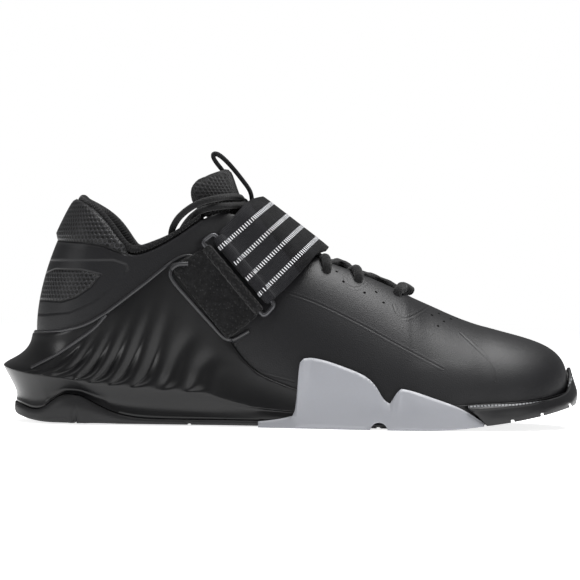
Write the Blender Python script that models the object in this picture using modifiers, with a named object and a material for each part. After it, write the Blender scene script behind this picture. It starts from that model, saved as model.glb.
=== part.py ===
"""Weightlifting shoe, right foot: raised heel, flared heel cradle, one instep strap and laces.

Toe towards +X, lateral side towards -Y, up +Z. Sizes are in millimetres and MM turns them into metres.
A station is the distance along the upper's outline from the middle of the heel to the tip of the toe.
Section planes stand upright: they fan round the heel pivot, run straight across the shoe between the
pivots, and fan round the toe pivot.
"""
import math
from collections import namedtuple

import bmesh
import bpy
from mathutils import Vector

MM = 0.001
GAP = 0.35

# Driving sizes
HEEL_PIVOT_X = -102.0
TOE_PIVOT_X = 104.0
HEEL_ARC = 52.0
TOE_ARC = 73.0
STRAIGHT = TOE_PIVOT_X - HEEL_PIVOT_X
TOE_STATION = HEEL_ARC + STRAIGHT + TOE_ARC
SPINE_SWING = 9.0
SPINE_START_X = -70.0
WALL = 2.4
HEEL_FLOOR = 30.0
FOREFOOT_FLOOR = 10.0
TOE_THINNING = 4.5
TOE_LIFT = 13.5
LIFT_START_X = 72.0
LIFT_RUN = 82.0
HEEL_RISE = 4.6
HEEL_RISE_X = -124.0
HEEL_RISE_RUN = 24.0
PLATE = 3.0
INSOLE_THICKNESS = 4.0
FLUTES = 8
FLUTE_PITCH = 9.4
FLUTE_FIRST = 48.0
FLUTE_DEPTH = 2.3
LEAN_POWER = 0.6
TREAD_GROOVES = (-112.0, -52.0, 20.0, 47.4, 75.0, 97.0, 117.8, 133.9, 150.9)
BUMPER_START_X = 110.0
STRAP_THICKNESS = 2.0
WIRE_RADIUS = 1.5
FOLD_RADIUS = 2.9
LACE_RADIUS = 1.35
BOW_RADIUS = 1.6

SIDES = {"lateral": -1.0, "medial": 1.0}

# Upper, one row for each section: feather line half widths from the spine, how far the wall bulges
# and at what height above the feather, the top edge, and the shoulder below that edge.
Wall = namedtuple("Wall", "at lateral medial bulge bulge_up top_out top_z shoulder_out shoulder_down")
UPPER = [
    Wall(0, 31.0, 31.0, 10.0, 20, 13.5, 118.5, 17.5, 29.5),
    Wall(26, 29.7, 29.7, 8.5, 20, 16.0, 117.5, 14.0, 29.0),
    Wall(44, 28.9, 28.8, 7.8, 21, 20.5, 113.5, 10.5, 28.0),
    Wall(52, 28.8, 28.6, 7.5, 22, 22.5, 109.5, 9.0, 27.0),
    Wall(60, 29.2, 28.8, 6.8, 23, 25.5, 99.5, 7.0, 25.0),
    Wall(66, 29.6, 29.0, 6.2, 23, 28.0, 91.8, 5.0, 22.0),
    Wall(70, 29.9, 29.2, 5.8, 23, 29.3, 89.3, 4.5, 22.0),
    Wall(78, 30.4, 29.3, 5.0, 24, 30.8, 91.4, 4.0, 22.0),
    Wall(94, 31.2, 29.0, 3.5, 26, 31.0, 99.8, 4.0, 24.0),
    Wall(109, 32.8, 28.3, 3.0, 28, 28.0, 110.6, 6.0, 24.0),
    Wall(116, 34.0, 27.8, 2.8, 29, 23.5, 113.6, 10.0, 23.0),
    Wall(123, 35.2, 27.3, 2.5, 30, 19.0, 114.3, 13.0, 22.0),
    Wall(134, 37.3, 27.0, 2.2, 30, 17.5, 107.8, 16.0, 16.0),
    Wall(154, 43.2, 27.3, 1.5, 28, 16.5, 97.0, 19.0, 10.0),
    Wall(174, 49.7, 29.8, 1.2, 26, 15.5, 88.2, 21.0, 6.5),
    Wall(194, 55.2, 33.3, 0.9, 24, 14.0, 81.4, 22.0, 4.0),
    Wall(214, 58.6, 36.4, 0.8, 23, 11.5, 72.8, 24.0, 2.0),
    Wall(220, 58.9, 37.3, 0.8, 22, 9.0, 70.0, 26.0, 1.0),
    Wall(224, 58.9, 37.8, 0.8, 22, 5.5, 68.4, 29.0, 0.4),
    Wall(226.5, 58.8, 38.1, 0.8, 22, 0.0, 67.3, 33.0, 0.0),
    Wall(238, 57.9, 39.0, 0.8, 21, 0.0, 61.9, 32.0, 0.0),
    Wall(248, 56.0, 39.1, 0.9, 20, 0.0, 57.6, 31.0, 0.2),
    Wall(258, 52.5, 39.0, 1.2, 19, 0.0, 54.4, 30.0, 0.5),
    Wall(282, 51.3, 41.0, 2.0, 20, 0.0, 54.4, 29.0, 3.0),
    Wall(306, 49.3, 44.6, 3.2, 24, 0.0, 54.4, 29.0, 6.0),
    Wall(331, 47.3, 47.3, 4.5, 28, 0.0, 54.4, 30.0, 8.4),
]

# Heel cradle and midsole, out from the feather line: the flared lip, the waist under it, the foot
# that stands in the outsole, the top edge, and the top of the outsole's rim.
Cradle = namedtuple("Cradle", "at lip_out lip_z waist_out waist_z foot_out top_z rim_z")
CRADLE = [
    Cradle(0, 21.0, 31.0, 12.6, 15.0, 14.4, 48.0, 10.2),
    Cradle(12, 19.5, 29.6, 11.6, 14.5, 13.6, 48.0, 9.4),
    Cradle(24, 17.2, 27.6, 10.0, 14.0, 12.2, 48.0, 6.9),
    Cradle(31, 16.0, 26.4, 9.2, 14.2, 11.6, 48.6, 11.0),
    Cradle(38, 14.8, 25.0, 8.4, 18.0, 11.0, 50.6, 16.0),
    Cradle(44, 13.9, 23.8, 7.8, 18.0, 10.4, 52.6, 15.8),
    Cradle(52, 13.0, 22.4, 7.2, 15.0, 9.8, 56.6, 11.5),
    Cradle(64, 12.2, 21.4, 6.6, 12.0, 9.0, 65.2, 6.2),
    Cradle(75, 11.2, 20.5, 6.1, 11.0, 8.4, 73.7, 4.0),
    Cradle(84.6, 10.3, 19.8, 5.7, 10.2, 7.8, 81.4, 3.5),
    Cradle(91, 9.6, 19.3, 5.4, 9.6, 7.4, 86.0, 3.4),
    Cradle(97, 9.0, 19.0, 5.2, 9.2, 7.0, 87.0, 3.4),
    Cradle(104, 8.2, 18.6, 4.9, 8.8, 6.5, 80.0, 3.4),
    Cradle(114, 6.8, 16.5, 4.4, 8.2, 5.6, 62.0, 3.4),
    Cradle(121, 5.6, 14.2, 4.0, 7.6, 5.0, 49.0, 3.4),
    Cradle(128, 4.8, 12.4, 3.6, 7.0, 4.4, 38.5, 3.4),
    Cradle(136, 4.2, 10.8, 3.3, 6.4, 3.8, 29.6, 3.4),
    Cradle(146, 3.2, 9.8, 2.8, 6.0, 3.0, 25.0, 3.4),
    Cradle(158, 2.2, 8.8, 2.0, 5.6, 2.0, 20.5, 3.4),
    Cradle(176, 1.4, 7.6, 1.4, 5.0, 1.4, 14.8, 3.4),
    Cradle(331, 1.4, 5.3, 1.4, 4.4, 1.4, 0.0, 3.4),
]

# The columns of the cradle lean: each starts further back at the lip than it ends at the top edge.
Lean = namedtuple("Lean", "at lip_at")
LEAN = [Lean(0, 0), Lean(20, 9), Lean(35, 17), Lean(50, 28), Lean(60, 37), Lean(70, 46),
        Lean(80, 56), Lean(90, 68), Lean(100, 82), Lean(112, 101), Lean(122, 118), Lean(128, 128)]

# Grey forefoot sidewall: height of its wavy top edge, by place along the shoe.
Wave = namedtuple("Wave", "at top_z")
WAVE = [Wave(-16, 3.2), Wave(-9, 3.9), Wave(-1, 5.4), Wave(3.2, 7.0), Wave(4.4, 14.0), Wave(4.9, 26.0),
        Wave(5.6, 33.5), Wave(7.5, 36.4), Wave(11.5, 37.0), Wave(17, 36.2), Wave(28.7, 32.5), Wave(40, 28.0),
        Wave(45.6, 23.0), Wave(50, 15.6), Wave(53, 13.8), Wave(55.2, 17.4), Wave(59, 21.6), Wave(66, 20.1),
        Wave(76.4, 16.6), Wave(87, 13.1), Wave(96.4, 8.4), Wave(103, 3.9)]

# Rubber toe bumper: height of its top edge, by station.
Bumper = namedtuple("Bumper", "at top_z")
BUMPER = [Bumper(242, 13.0), Bumper(258, 13.9), Bumper(272, 14.4), Bumper(288, 16.0),
          Bumper(302, 18.6), Bumper(312, 21.6), Bumper(321, 27.0), Bumper(331, 32.4)]

# Tongue, one row for each section from the throat's end to its top: crown, lean of the section,
# half width, drop of the edges and thickness.
Tongue = namedtuple("Tongue", "x z lean half_width drop thickness")
TONGUE = [
    Tongue(69.0, 64.4, 0, 17, 3.0, 2.2),
    Tongue(56.0, 73.0, 0, 20, 5.0, 2.8),
    Tongue(40.0, 81.8, 0, 23, 8.0, 3.2),
    Tongue(20.0, 88.9, 0, 24, 10.0, 3.8),
    Tongue(0.0, 97.8, 2, 25, 13.0, 4.6),
    Tongue(-14.0, 105.2, 8, 25, 15.0, 5.4),
    Tongue(-22.5, 111.6, 22, 18, 12.0, 6.0),
    Tongue(-28.0, 118.0, 44, 18.5, 13.0, 8.6),
    Tongue(-31.0, 125.5, 58, 21.5, 16.0, 11.0),
    Tongue(-33.0, 131.5, 64, 23, 16.0, 11.5),
    Tongue(-34.4, 134.8, 66, 21, 14.0, 8.0),
]

# Instep strap, from the ring on the lateral side over the crown to its sewn end on the medial side.
# A half of 0 takes the side's own surface, otherwise it is the distance from the spine.
Strap = namedtuple("Strap", "side back_x back_z front_x front_z back_half front_half stand_off")
STRAP = [
    Strap(-1, -38.4, 99.4, -9.4, 66.6, 0, 0, 3.6),
    Strap(-1, -35.0, 104.6, -3.2, 73.2, 0, 0, 4.4),
    Strap(-1, -31.0, 109.6, 3.6, 80.6, 0, 0, 6.2),
    Strap(-1, -26.6, 116.4, 10.8, 90.2, 26.0, 32.0, 5.0),
    Strap(-1, -23.4, 120.8, 14.4, 95.6, 19.8, 23.4, 5.0),
    Strap(-1, -19.6, 122.8, 18.0, 97.4, 13.0, 15.0, 5.0),
    Strap(-1, -14.6, 124.2, 20.6, 97.8, 4.5, 5.5, 5.0),
    Strap(1, -14.6, 124.2, 20.6, 97.8, 4.5, 5.5, 5.0),
    Strap(1, -19.6, 122.8, 18.0, 97.4, 13.0, 15.0, 5.0),
    Strap(1, -23.4, 120.8, 14.4, 95.6, 19.8, 23.4, 5.0),
    Strap(1, -26.6, 116.4, 10.8, 90.2, 27.0, 32.0, 5.0),
    Strap(1, -31.0, 109.6, 3.6, 80.6, 0, 0, 7.4),
    Strap(1, -38.4, 99.4, -9.4, 66.6, 0, 0, 5.0),
    Strap(1, -46.0, 90.0, -17.0, 56.0, 0, 0, 5.8),
    Strap(1, -53.0, 81.0, -24.0, 47.4, 0, 0, 5.8),
]
STRAP_COLUMNS = 6

# Anchor tab of the ring on the lateral side, from the ring's lower bar to its tip.
Tab = namedtuple("Tab", "back_x back_z front_x front_z stand_off")
TAB = [
    Tab(-46.6, 92.4, -17.0, 58.0, 3.6),
    Tab(-51.0, 90.4, -20.6, 55.0, 4.4),
    Tab(-57.0, 88.0, -27.0, 50.0, 5.0),
    Tab(-62.6, 83.0, -32.6, 46.0, 5.0),
]
TAB_THICKNESS = 2.2
RING_UPPER_BAR = ((-38.4, 99.4), (-9.4, 66.6))
RING_LOWER_BAR = ((-44.6, 94.6), (-15.2, 60.2))
RING_STAND_OFF = 4.7
RING_OVERHANG = 2.9

# Lace rows, by place along the throat, and how far each eyelet lies outside the throat's edge.
LACE_ROWS = (61.0, 36.5, 19.5, 4.0, -9.5, -22.0)
EYELET_OUT = 4.2

# Free bow of the lace behind the strap: knot, two loops and two ends, by hand.
KNOT = (-25.8, 1.0, 119.2)
KNOT_HALF_SIZES = (2.5, 5.2, 1.9)
LOOP_LATERAL = [(-27.2, -5.6, 121.6), (-30.0, -10.5, 122.0), (-34.0, -18.0, 121.6), (-39.5, -26.0, 120.4),
                (-46.5, -30.0, 118.4), (-53.5, -29.5, 114.8), (-60.0, -25.0, 109.0), (-63.4, -18.5, 101.5),
                (-61.0, -15.0, 93.5), (-55.0, -14.0, 91.0), (-50.0, -14.0, 96.0)]
LOOP_MEDIAL = [(-27.2, 7.6, 121.6), (-30.0, 12.5, 122.0), (-34.0, 20.0, 121.4), (-41.0, 28.0, 119.6),
               (-49.0, 30.0, 116.4), (-56.5, 25.0, 109.5), (-60.0, 17.5, 101.0), (-55.0, 14.5, 94.5),
               (-50.0, 14.0, 99.0)]
END_LATERAL = [(-26.6, -7.6, 117.6), (-30.0, -14.5, 117.2), (-36.0, -23.6, 116.4), (-42.5, -26.0, 115.4),
               (-49.0, -22.4, 113.2), (-53.0, -16.8, 107.6)]
END_MEDIAL = [(-26.6, 9.6, 117.6), (-30.0, 16.5, 117.2), (-36.0, 25.0, 116.2), (-42.5, 27.4, 115.0),
              (-49.0, 23.6, 112.8), (-53.0, 18.0, 107.4)]

# Pull loop of webbing at the tongue's top, seen from the side.
PULL_LOOP = [(-37.4, 135.6), (-40.6, 139.4), (-43.0, 143.2), (-42.4, 145.8), (-39.6, 146.0), (-35.6, 143.2),
             (-30.6, 138.0), (-25.2, 131.4), (-21.0, 125.4), (-20.0, 118.6), (-19.8, 112.4)]
PULL_LOOP_WIDTH = 11.0
PULL_LOOP_THICKNESS = 1.7


def smooth_step(value):
    """0 to 1 with level ends."""
    value = min(max(value, 0.0), 1.0)
    return value * value * (3.0 - 2.0 * value)


def column(rows, name, at):
    """Value of a table's column between its rows, on a smooth curve that doesn't overshoot."""
    places = [row.at for row in rows]
    values = [getattr(row, name) for row in rows]
    if at <= places[0]:
        return float(values[0])
    if at >= places[-1]:
        return float(values[-1])
    spans = [b - a for a, b in zip(places, places[1:])]
    slopes = [(b - a) / span for a, b, span in zip(values, values[1:], spans)]
    tangents = [0.0]
    for before, after in zip(slopes, slopes[1:]):
        tangents.append(0.0 if before * after <= 0 else 2 * before * after / (before + after))
    tangents.append(0.0)
    k = max(i for i in range(len(spans)) if places[i] <= at)
    u = (at - places[k]) / spans[k]
    return (values[k] * (1 + 2 * u) * (1 - u) ** 2 + spans[k] * tangents[k] * u * (1 - u) ** 2
            + values[k + 1] * u * u * (3 - 2 * u) + spans[k] * tangents[k + 1] * u * u * (u - 1))


def station_of(x):
    return x - HEEL_PIVOT_X + HEEL_ARC


def spine(x):
    return SPINE_SWING * smooth_step((x - SPINE_START_X) / (TOE_PIVOT_X - SPINE_START_X))


def plane(at, side):
    """Foot of a section plane on the spine, and the plane's outward direction."""
    if at < HEEL_ARC:
        angle = math.radians(90.0 * at / HEEL_ARC)
        return HEEL_PIVOT_X, spine(HEEL_PIVOT_X), -math.cos(angle), side * math.sin(angle)
    if at > HEEL_ARC + STRAIGHT:
        angle = math.radians(90.0 * (at - HEEL_ARC - STRAIGHT) / TOE_ARC)
        return TOE_PIVOT_X, spine(TOE_PIVOT_X), math.sin(angle), side * math.cos(angle)
    x = at - HEEL_ARC + HEEL_PIVOT_X
    return x, spine(x), 0.0, side


def point(at, side, out, z):
    x, y, step_x, step_y = plane(at, side)
    return Vector((x + step_x * out, y + step_y * out, z))


def underside(x):
    """Height of the sole's bottom: flat, with the toe spring and the rounded back of the heel."""
    if x > LIFT_START_X:
        return TOE_LIFT * ((x - LIFT_START_X) / LIFT_RUN) ** 1.8
    if x < HEEL_RISE_X:
        return HEEL_RISE * ((HEEL_RISE_X - x) / HEEL_RISE_RUN) ** 2.2
    return 0.0


def foot_bed(x):
    """Height of the midsole's top, where the insole lies."""
    drop = (HEEL_FLOOR - FOREFOOT_FLOOR) * smooth_step((45.0 - x) / 130.0)
    thin = TOE_THINNING * smooth_step((x - 90.0) / 58.0)
    return FOREFOOT_FLOOR + drop - thin + (underside(x) if x > 0 else 0.0)


def feather(at, side):
    return column(UPPER, "lateral" if side < 0 else "medial", at)


def wall(at, side, share, inward=0.0):
    """Out and up of the upper's outer face in its section plane, moved inward square to the face."""
    foot = feather(at, side)
    x, _, step_x, _ = plane(at, side)
    foot_z = foot_bed(x + step_x * foot) + 0.5
    top_out = column(UPPER, "top_out", at)
    top_z = column(UPPER, "top_z", at)
    outs = (foot, foot + column(UPPER, "bulge", at),
            top_out + column(UPPER, "shoulder_out", at), top_out)
    ups = (foot_z, foot_z + column(UPPER, "bulge_up", at),
           top_z - column(UPPER, "shoulder_down", at), top_z)
    u, v = share, 1.0 - share
    weights = (v ** 3, 3 * v * v * u, 3 * v * u * u, u ** 3)
    out = sum(w * p for w, p in zip(weights, outs))
    up = sum(w * p for w, p in zip(weights, ups))
    if inward:
        slopes = (3 * v * v, 6 * v * u, 3 * u * u)
        run = sum(w * (b - a) for w, a, b in zip(slopes, outs, outs[1:]))
        rise = sum(w * (b - a) for w, a, b in zip(slopes, ups, ups[1:]))
        size = math.hypot(run, rise) or 1.0
        out -= inward * rise / size
        up += inward * run / size
    return out, up


def share_at(at, side, height):
    """Share of the way up the wall that lies at a height."""
    low, high = 0.0, 1.0
    for _ in range(24):
        middle = (low + high) / 2
        if wall(at, side, middle)[1] < height:
            low = middle
        else:
            high = middle
    return (low + high) / 2


def face_out(at, side, height):
    return wall(at, side, share_at(at, side, height))[0]


def on_side(x, z, side, stand_off):
    """Point beside the upper's face, at a place in the side view."""
    at = station_of(x)
    return Vector((x, spine(x) + side * (face_out(at, side, z) + stand_off), z))


def steps(start, end, count):
    return [start + (end - start) * i / count for i in range(count + 1)]


def stations(*spans):
    """Station list from (start, end, count) spans that follow each other."""
    places = []
    for start, end, count in spans:
        places += [p for p in steps(start, end, count) if not places or p > places[-1] + 1e-6]
    return places


def ring(places, shape):
    """Closed ring of points, heel to toe on the lateral side and back on the medial one."""
    points = [point(at, -1.0, *shape(at, -1.0)) for at in places]
    points += [point(at, 1.0, *shape(at, 1.0)) for at in reversed(places[1:-1])]
    return points


def leaning_ring(places, shape):
    """Closed ring as above, from a shape that gives its own section plane for each place."""
    around = [(at, -1.0) for at in places] + [(at, 1.0) for at in reversed(places[1:-1])]
    sections = [(side, *shape(at, side)) for at, side in around]
    return [point(place, side, out, z) for side, place, out, z in sections]


def add_ring(bm, points):
    return [bm.verts.new(p * MM) for p in points]


def skin(bm, rings, closed=True):
    """Faces between rings that follow each other, facing out when they run anticlockwise and up."""
    for lower, upper in zip(rings, rings[1:]):
        count = len(lower)
        for i in range(count if closed else count - 1):
            j = (i + 1) % count
            bm.faces.new((lower[i], lower[j], upper[j], upper[i]))


def cap_across(bm, points, up):
    """Faces from the lateral to the medial half of a ring."""
    count = len(points)
    half = count // 2
    for i in range(half):
        corners = [points[i], points[i + 1], points[(count - i - 1) % count], points[(count - i) % count]]
        corners = [c for k, c in enumerate(corners) if c not in corners[:k]]
        bm.faces.new(corners if up else reversed(corners))


def cap_flat(bm, points, reverse):
    bm.faces.new(reversed(points) if reverse else points)


def finish_mesh(name, bm, colour, roughness, metallic=0.0):
    """Mesh object in the shoe's collection with its own material."""
    bmesh.ops.remove_doubles(bm, verts=bm.verts, dist=1e-6)
    mesh = bpy.data.meshes.new(name)
    bm.to_mesh(mesh)
    bm.free()
    obj = bpy.data.objects.new(name, mesh)
    SHOE.objects.link(obj)
    paint(obj, colour, roughness, metallic)
    mesh.shade_smooth()
    mesh.set_sharp_from_angle(angle=math.radians(40))
    return obj


def paint(obj, colour, roughness, metallic=0.0):
    material = bpy.data.materials.new(obj.name)
    material.use_nodes = True
    shader = material.node_tree.nodes["Principled BSDF"]
    shader.inputs["Base Color"].default_value = (*colour, 1.0)
    shader.inputs["Roughness"].default_value = roughness
    shader.inputs["Metallic"].default_value = metallic
    obj.data.materials.clear()
    obj.data.materials.append(material)


def cut(obj, cutter, operation="DIFFERENCE"):
    boolean = obj.modifiers.new(cutter.name, "BOOLEAN")
    boolean.object = cutter
    boolean.operation = operation
    boolean.solver = "EXACT"


def as_cutter(obj):
    for owner in list(obj.users_collection):
        owner.objects.unlink(obj)
    CUTTERS.objects.link(obj)
    obj.hide_render = True
    obj.display_type = "WIRE"
    return obj


def smooth_route(points, count):
    """Points read from a smooth curve through the route's own points."""
    points = [Vector(p) for p in points]
    knots = [points[0] * 2 - points[1]] + points + [points[-1] * 2 - points[-2]]
    route = []
    for i in range(count + 1):
        place = i * (len(points) - 1) / count
        k = min(int(place), len(points) - 2)
        u = place - k
        a, b, c, d = knots[k:k + 4]
        route.append(0.5 * (2 * b + (c - a) * u + (2 * a - 5 * b + 4 * c - d) * u * u
                            + (3 * b - a - 3 * c + d) * u ** 3))
    return route


def tube(name, route, radius, colour, roughness, metallic=0.0, cyclic=False, detail=2):
    """Round bar or cord along a route, as a mesh whose caps are welded."""
    curve = bpy.data.curves.new(name + "_route", "CURVE")
    curve.dimensions = "3D"
    curve.bevel_depth = radius * MM
    curve.bevel_resolution = detail
    curve.use_fill_caps = not cyclic
    spline = curve.splines.new("POLY")
    spline.points.add(len(route) - 1)
    for knot, place in zip(spline.points, route):
        knot.co = (*(Vector(place) * MM), 1.0)
    spline.use_cyclic_u = cyclic
    source = bpy.data.objects.new(name + "_route", curve)
    SHOE.objects.link(source)
    graph = bpy.context.evaluated_depsgraph_get()
    mesh = bpy.data.meshes.new_from_object(source.evaluated_get(graph))
    matrix = source.matrix_world.copy()
    bpy.data.objects.remove(source)
    bm = bmesh.new()
    bm.from_mesh(mesh)
    bpy.data.meshes.remove(mesh)
    bmesh.ops.remove_doubles(bm, verts=bm.verts, dist=1e-6)
    bmesh.ops.recalc_face_normals(bm, faces=bm.faces)
    obj = finish_mesh(name, bm, colour, roughness, metallic)
    obj.matrix_world = matrix
    return obj


UPPER_PLACES = stations((0, 52, 6), (52, 72, 4), (72, 123, 6), (123, 214, 8), (214, 220, 1),
                        (220, 224, 1), (224, 226.5, 1), (226.5, 258, 3), (258, TOE_STATION, 8))
UPPER_SHARES = (0.0, 0.12, 0.26, 0.4, 0.54, 0.68, 0.81, 0.92, 1.0)


def build_upper():
    """One open sheet from the feather line to the collar and throat, closed over the toe, with a wall."""
    bm = bmesh.new()
    rings = [add_ring(bm, ring(UPPER_PLACES, lambda at, side, s=share: wall(at, side, s)))
             for share in UPPER_SHARES]
    skin(bm, rings)
    bmesh.ops.remove_doubles(bm, verts=bm.verts, dist=0.02 * MM)
    upper = finish_mesh("upper", bm, (0.018, 0.018, 0.020), 0.55)
    thick = upper.modifiers.new("wall", "SOLIDIFY")
    thick.thickness = WALL * MM
    thick.offset = -1.0
    thick.use_even_offset = True
    return upper


def rim_height(at, side):
    return column(CRADLE, "rim_z", at) + bottom_at(at, side, feather(at, side))


def foot_out(at, side):
    return feather(at, side) + column(CRADLE, "foot_out", at)


def bottom_at(at, side, out):
    x, _, step_x, _ = plane(at, side)
    return underside(x + step_x * out)


def lip_place(at):
    """Station at the lip of the cradle's column that ends at a station of the top edge."""
    return column(LEAN, "lip_at", at) if at < LEAN[-1].at else at


FLUTE_PLACES = [FLUTE_FIRST + FLUTE_PITCH * i / 3 for i in range(FLUTES * 3 + 1)]
CRADLE_PLACES = (stations((0, FLUTE_FIRST, 7)) + FLUTE_PLACES[1:]
                 + stations((FLUTE_PLACES[-1], 160, 5), (160, 258, 7), (258, TOE_STATION, 8))[1:])
SOLE_PLACES = [lip_place(at) for at in CRADLE_PLACES]


def build_outsole(grooves):
    """Rubber plate whose rim stands up round the heel."""
    shell = 3.0

    def outline(inset, height):
        def shape(at, side):
            out = foot_out(at, side) + GAP - inset
            return out, height(at, side, out)
        return shape

    bm = bmesh.new()
    rows = [
        outline(1.2, lambda at, side, out: bottom_at(at, side, out)),
        outline(0.0, lambda at, side, out: bottom_at(at, side, out) + 1.2),
        outline(0.3, lambda at, side, out: rim_height(at, side)),
        outline(shell, lambda at, side, out: rim_height(at, side)),
        outline(shell, lambda at, side, out: bottom_at(at, side, out) + PLATE),
    ]
    rings = [add_ring(bm, ring(SOLE_PLACES, shape)) for shape in rows]
    skin(bm, rings)
    cap_across(bm, rings[0], up=False)
    cap_across(bm, rings[-1], up=True)
    outsole = finish_mesh("outsole", bm, (0.022, 0.022, 0.024), 0.62)
    for groove in grooves:
        cut(outsole, groove)


def tread_groove(x):
    """Cutter for a groove across the sole, square to the bottom's slope."""
    slope = (underside(x + 1.0) - underside(x - 1.0)) / 2.0
    bpy.ops.mesh.primitive_cube_add(size=1.0, location=(x * MM, 0, underside(x) * MM),
                                    rotation=(0, -math.atan(slope), 0))
    groove = bpy.context.object
    groove.scale = (1.8 * MM, 160 * MM, 2.6 * MM)
    groove.name = "tread_groove"
    return as_cutter(groove)


def top_height(at, side):
    """Height of the cradle's top edge."""
    x, _, step_x, _ = plane(at, side)
    return max(column(CRADLE, "top_z", at), foot_bed(x + step_x * feather(at, side)) + 2.4)


def ridge_out(at):
    """How far the cradle's top edge stands outside the upper's face."""
    return 2.0 - 0.8 * smooth_step((at - 130.0) / 40.0)


def lip_height(at, side):
    return column(CRADLE, "lip_z", at) + bottom_at(at, side, feather(at, side))


def waist_height(at, side):
    ground = bottom_at(at, side, feather(at, side))
    return max(column(CRADLE, "waist_z", at) + ground, rim_height(at, side) + 1.2)


def build_midsole():
    """Heel cradle and midsole: a cup whose fluted wall flares to a lip and climbs the quarter."""
    end = FLUTE_PLACES[-1]

    def flute(at):
        if at < FLUTE_FIRST or at > end - 1e-6:
            return 0.0
        phase = ((at - FLUTE_FIRST) / FLUTE_PITCH + 1e-6) % 1.0
        return -1.0 if phase < 0.01 else 0.35 * (phase < 0.5)

    def low(inset, height):
        def shape(at, side):
            place = lip_place(at)
            out = foot_out(place, side) - inset
            return place, out, height(place, side, out)
        return shape

    def swept(rise):
        def shape(at, side):
            place = lip_place(at) + (at - lip_place(at)) * rise ** LEAN_POWER
            foot = feather(place, side)
            lip_z = lip_height(place, side)
            top = top_height(at, side)
            z = lip_z + (top - lip_z) * rise
            skin_out = face_out(place, side, z) + ridge_out(place)
            reach = max(foot + column(CRADLE, "lip_out", place) - skin_out, 0.0)
            fade = min(1.0, reach / 5.0) * smooth_step((0.64 - rise) / 0.4)
            out = skin_out + reach * (1.0 - rise) ** 2.4 + FLUTE_DEPTH * flute(at) * fade
            return place, out, z
        return shape

    def lip(inset, rise):
        def shape(at, side):
            place = lip_place(at)
            low = waist_height(place, side)
            out = feather(place, side) + column(CRADLE, "lip_out", place) - inset
            return place, out, low + (lip_height(place, side) - low) * rise
        return shape

    def waist(at, side):
        place = lip_place(at)
        out = feather(place, side) + column(CRADLE, "waist_out", place)
        return place, out, waist_height(place, side)

    def inner(fraction):
        def shape(at, side):
            top = top_height(at, side)
            foot_z = wall(at, side, 0.0)[1]
            share = share_at(at, side, foot_z + (top - foot_z) * fraction)
            out, z = wall(at, side, share, inward=-0.6)
            return at, out, (top if fraction == 1.0 else z)
        return shape

    def bed(at, side):
        out = feather(at, side) + 0.6
        x, _, step_x, _ = plane(at, side)
        return at, out, foot_bed(x + step_x * out)

    bm = bmesh.new()
    rows = [
        low(3.0 - GAP + 0.3, lambda at, side, out: bottom_at(at, side, out) + PLATE + GAP),
        low(3.0 - GAP + 0.3, lambda at, side, out: rim_height(at, side) + GAP),
        low(0.4, lambda at, side, out: rim_height(at, side) + GAP),
        waist,
        lip(1.2, 0.74),
        lip(0.0, 0.92),
        swept(0.05), swept(0.17), swept(0.34), swept(0.56), swept(0.78), swept(0.96),
        inner(1.0), inner(0.7), inner(0.35), bed,
    ]
    rings = [add_ring(bm, leaning_ring(CRADLE_PLACES, shape)) for shape in rows]
    skin(bm, rings)
    cap_across(bm, rings[0], up=False)
    cap_across(bm, rings[-1], up=True)
    return finish_mesh("midsole", bm, (0.014, 0.014, 0.016), 0.32)


def build_insole():
    inset = WALL + 0.9

    def shape_at(inward, rise):
        def shape(at, side):
            out = feather(at, side) - inset - inward
            x, _, step_x, _ = plane(at, side)
            return out, foot_bed(x + step_x * out) + GAP + rise
        return shape

    bm = bmesh.new()
    rows = [shape_at(0.0, 0.0), shape_at(0.0, INSOLE_THICKNESS), shape_at(3.0, INSOLE_THICKNESS - 0.6)]
    rings = [add_ring(bm, ring(SOLE_PLACES, shape)) for shape in rows]
    skin(bm, rings)
    cap_across(bm, rings[0], up=False)
    cap_across(bm, rings[-1], up=True)
    return finish_mesh("insole", bm, (0.03, 0.03, 0.032), 0.9)


FULL_WRAP = station_of(8.5)


def side_skin_out(at, side, z):
    """Outer face of what lies under a strip wrapped round the forefoot, with the strip's gap."""
    clear = face_out(at, side, max(z, wall(at, side, 0.0)[1])) + GAP + 0.2
    if z < top_height(at, side) + 1.4 or at < FULL_WRAP:
        beside = max(column(CRADLE, "foot_out", at) + GAP, column(CRADLE, "lip_out", at)) + feather(at, side)
        clear = max(clear + ridge_out(at), beside + GAP + 0.2)
    return clear


def wrap_section(at, side, low, top, outward):
    """Closed section of a strip: its outer face bottom to top, then its inner face back down."""
    count = len(outward) - 1
    heights = [low + (top - low) * i / count for i in range(count + 1)]
    section = [(side_skin_out(at, side, z) + extra, z) for z, extra in zip(heights, outward)]
    shelf = top_height(at, side)
    if low < shelf and top > shelf + 3.0:
        inner = (top, shelf + 2.3, shelf + 1.2, (low + shelf) / 2, low)
    else:
        inner = [top + (low - top) * i / 4 for i in range(5)]
    return section + [(side_skin_out(at, side, z), z) for z in inner]


def strip(name, around, section, colour, roughness):
    """Strip lofted through its sections, with flat ends."""
    bm = bmesh.new()
    loops = [[bm.verts.new(point(at, side, *p) * MM) for p in section(at, side)] for at, side in around]
    skin(bm, loops)
    cap_flat(bm, loops[0], reverse=False)
    cap_flat(bm, loops[-1], reverse=True)
    bmesh.ops.recalc_face_normals(bm, faces=bm.faces)
    return finish_mesh(name, bm, colour, roughness)


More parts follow.
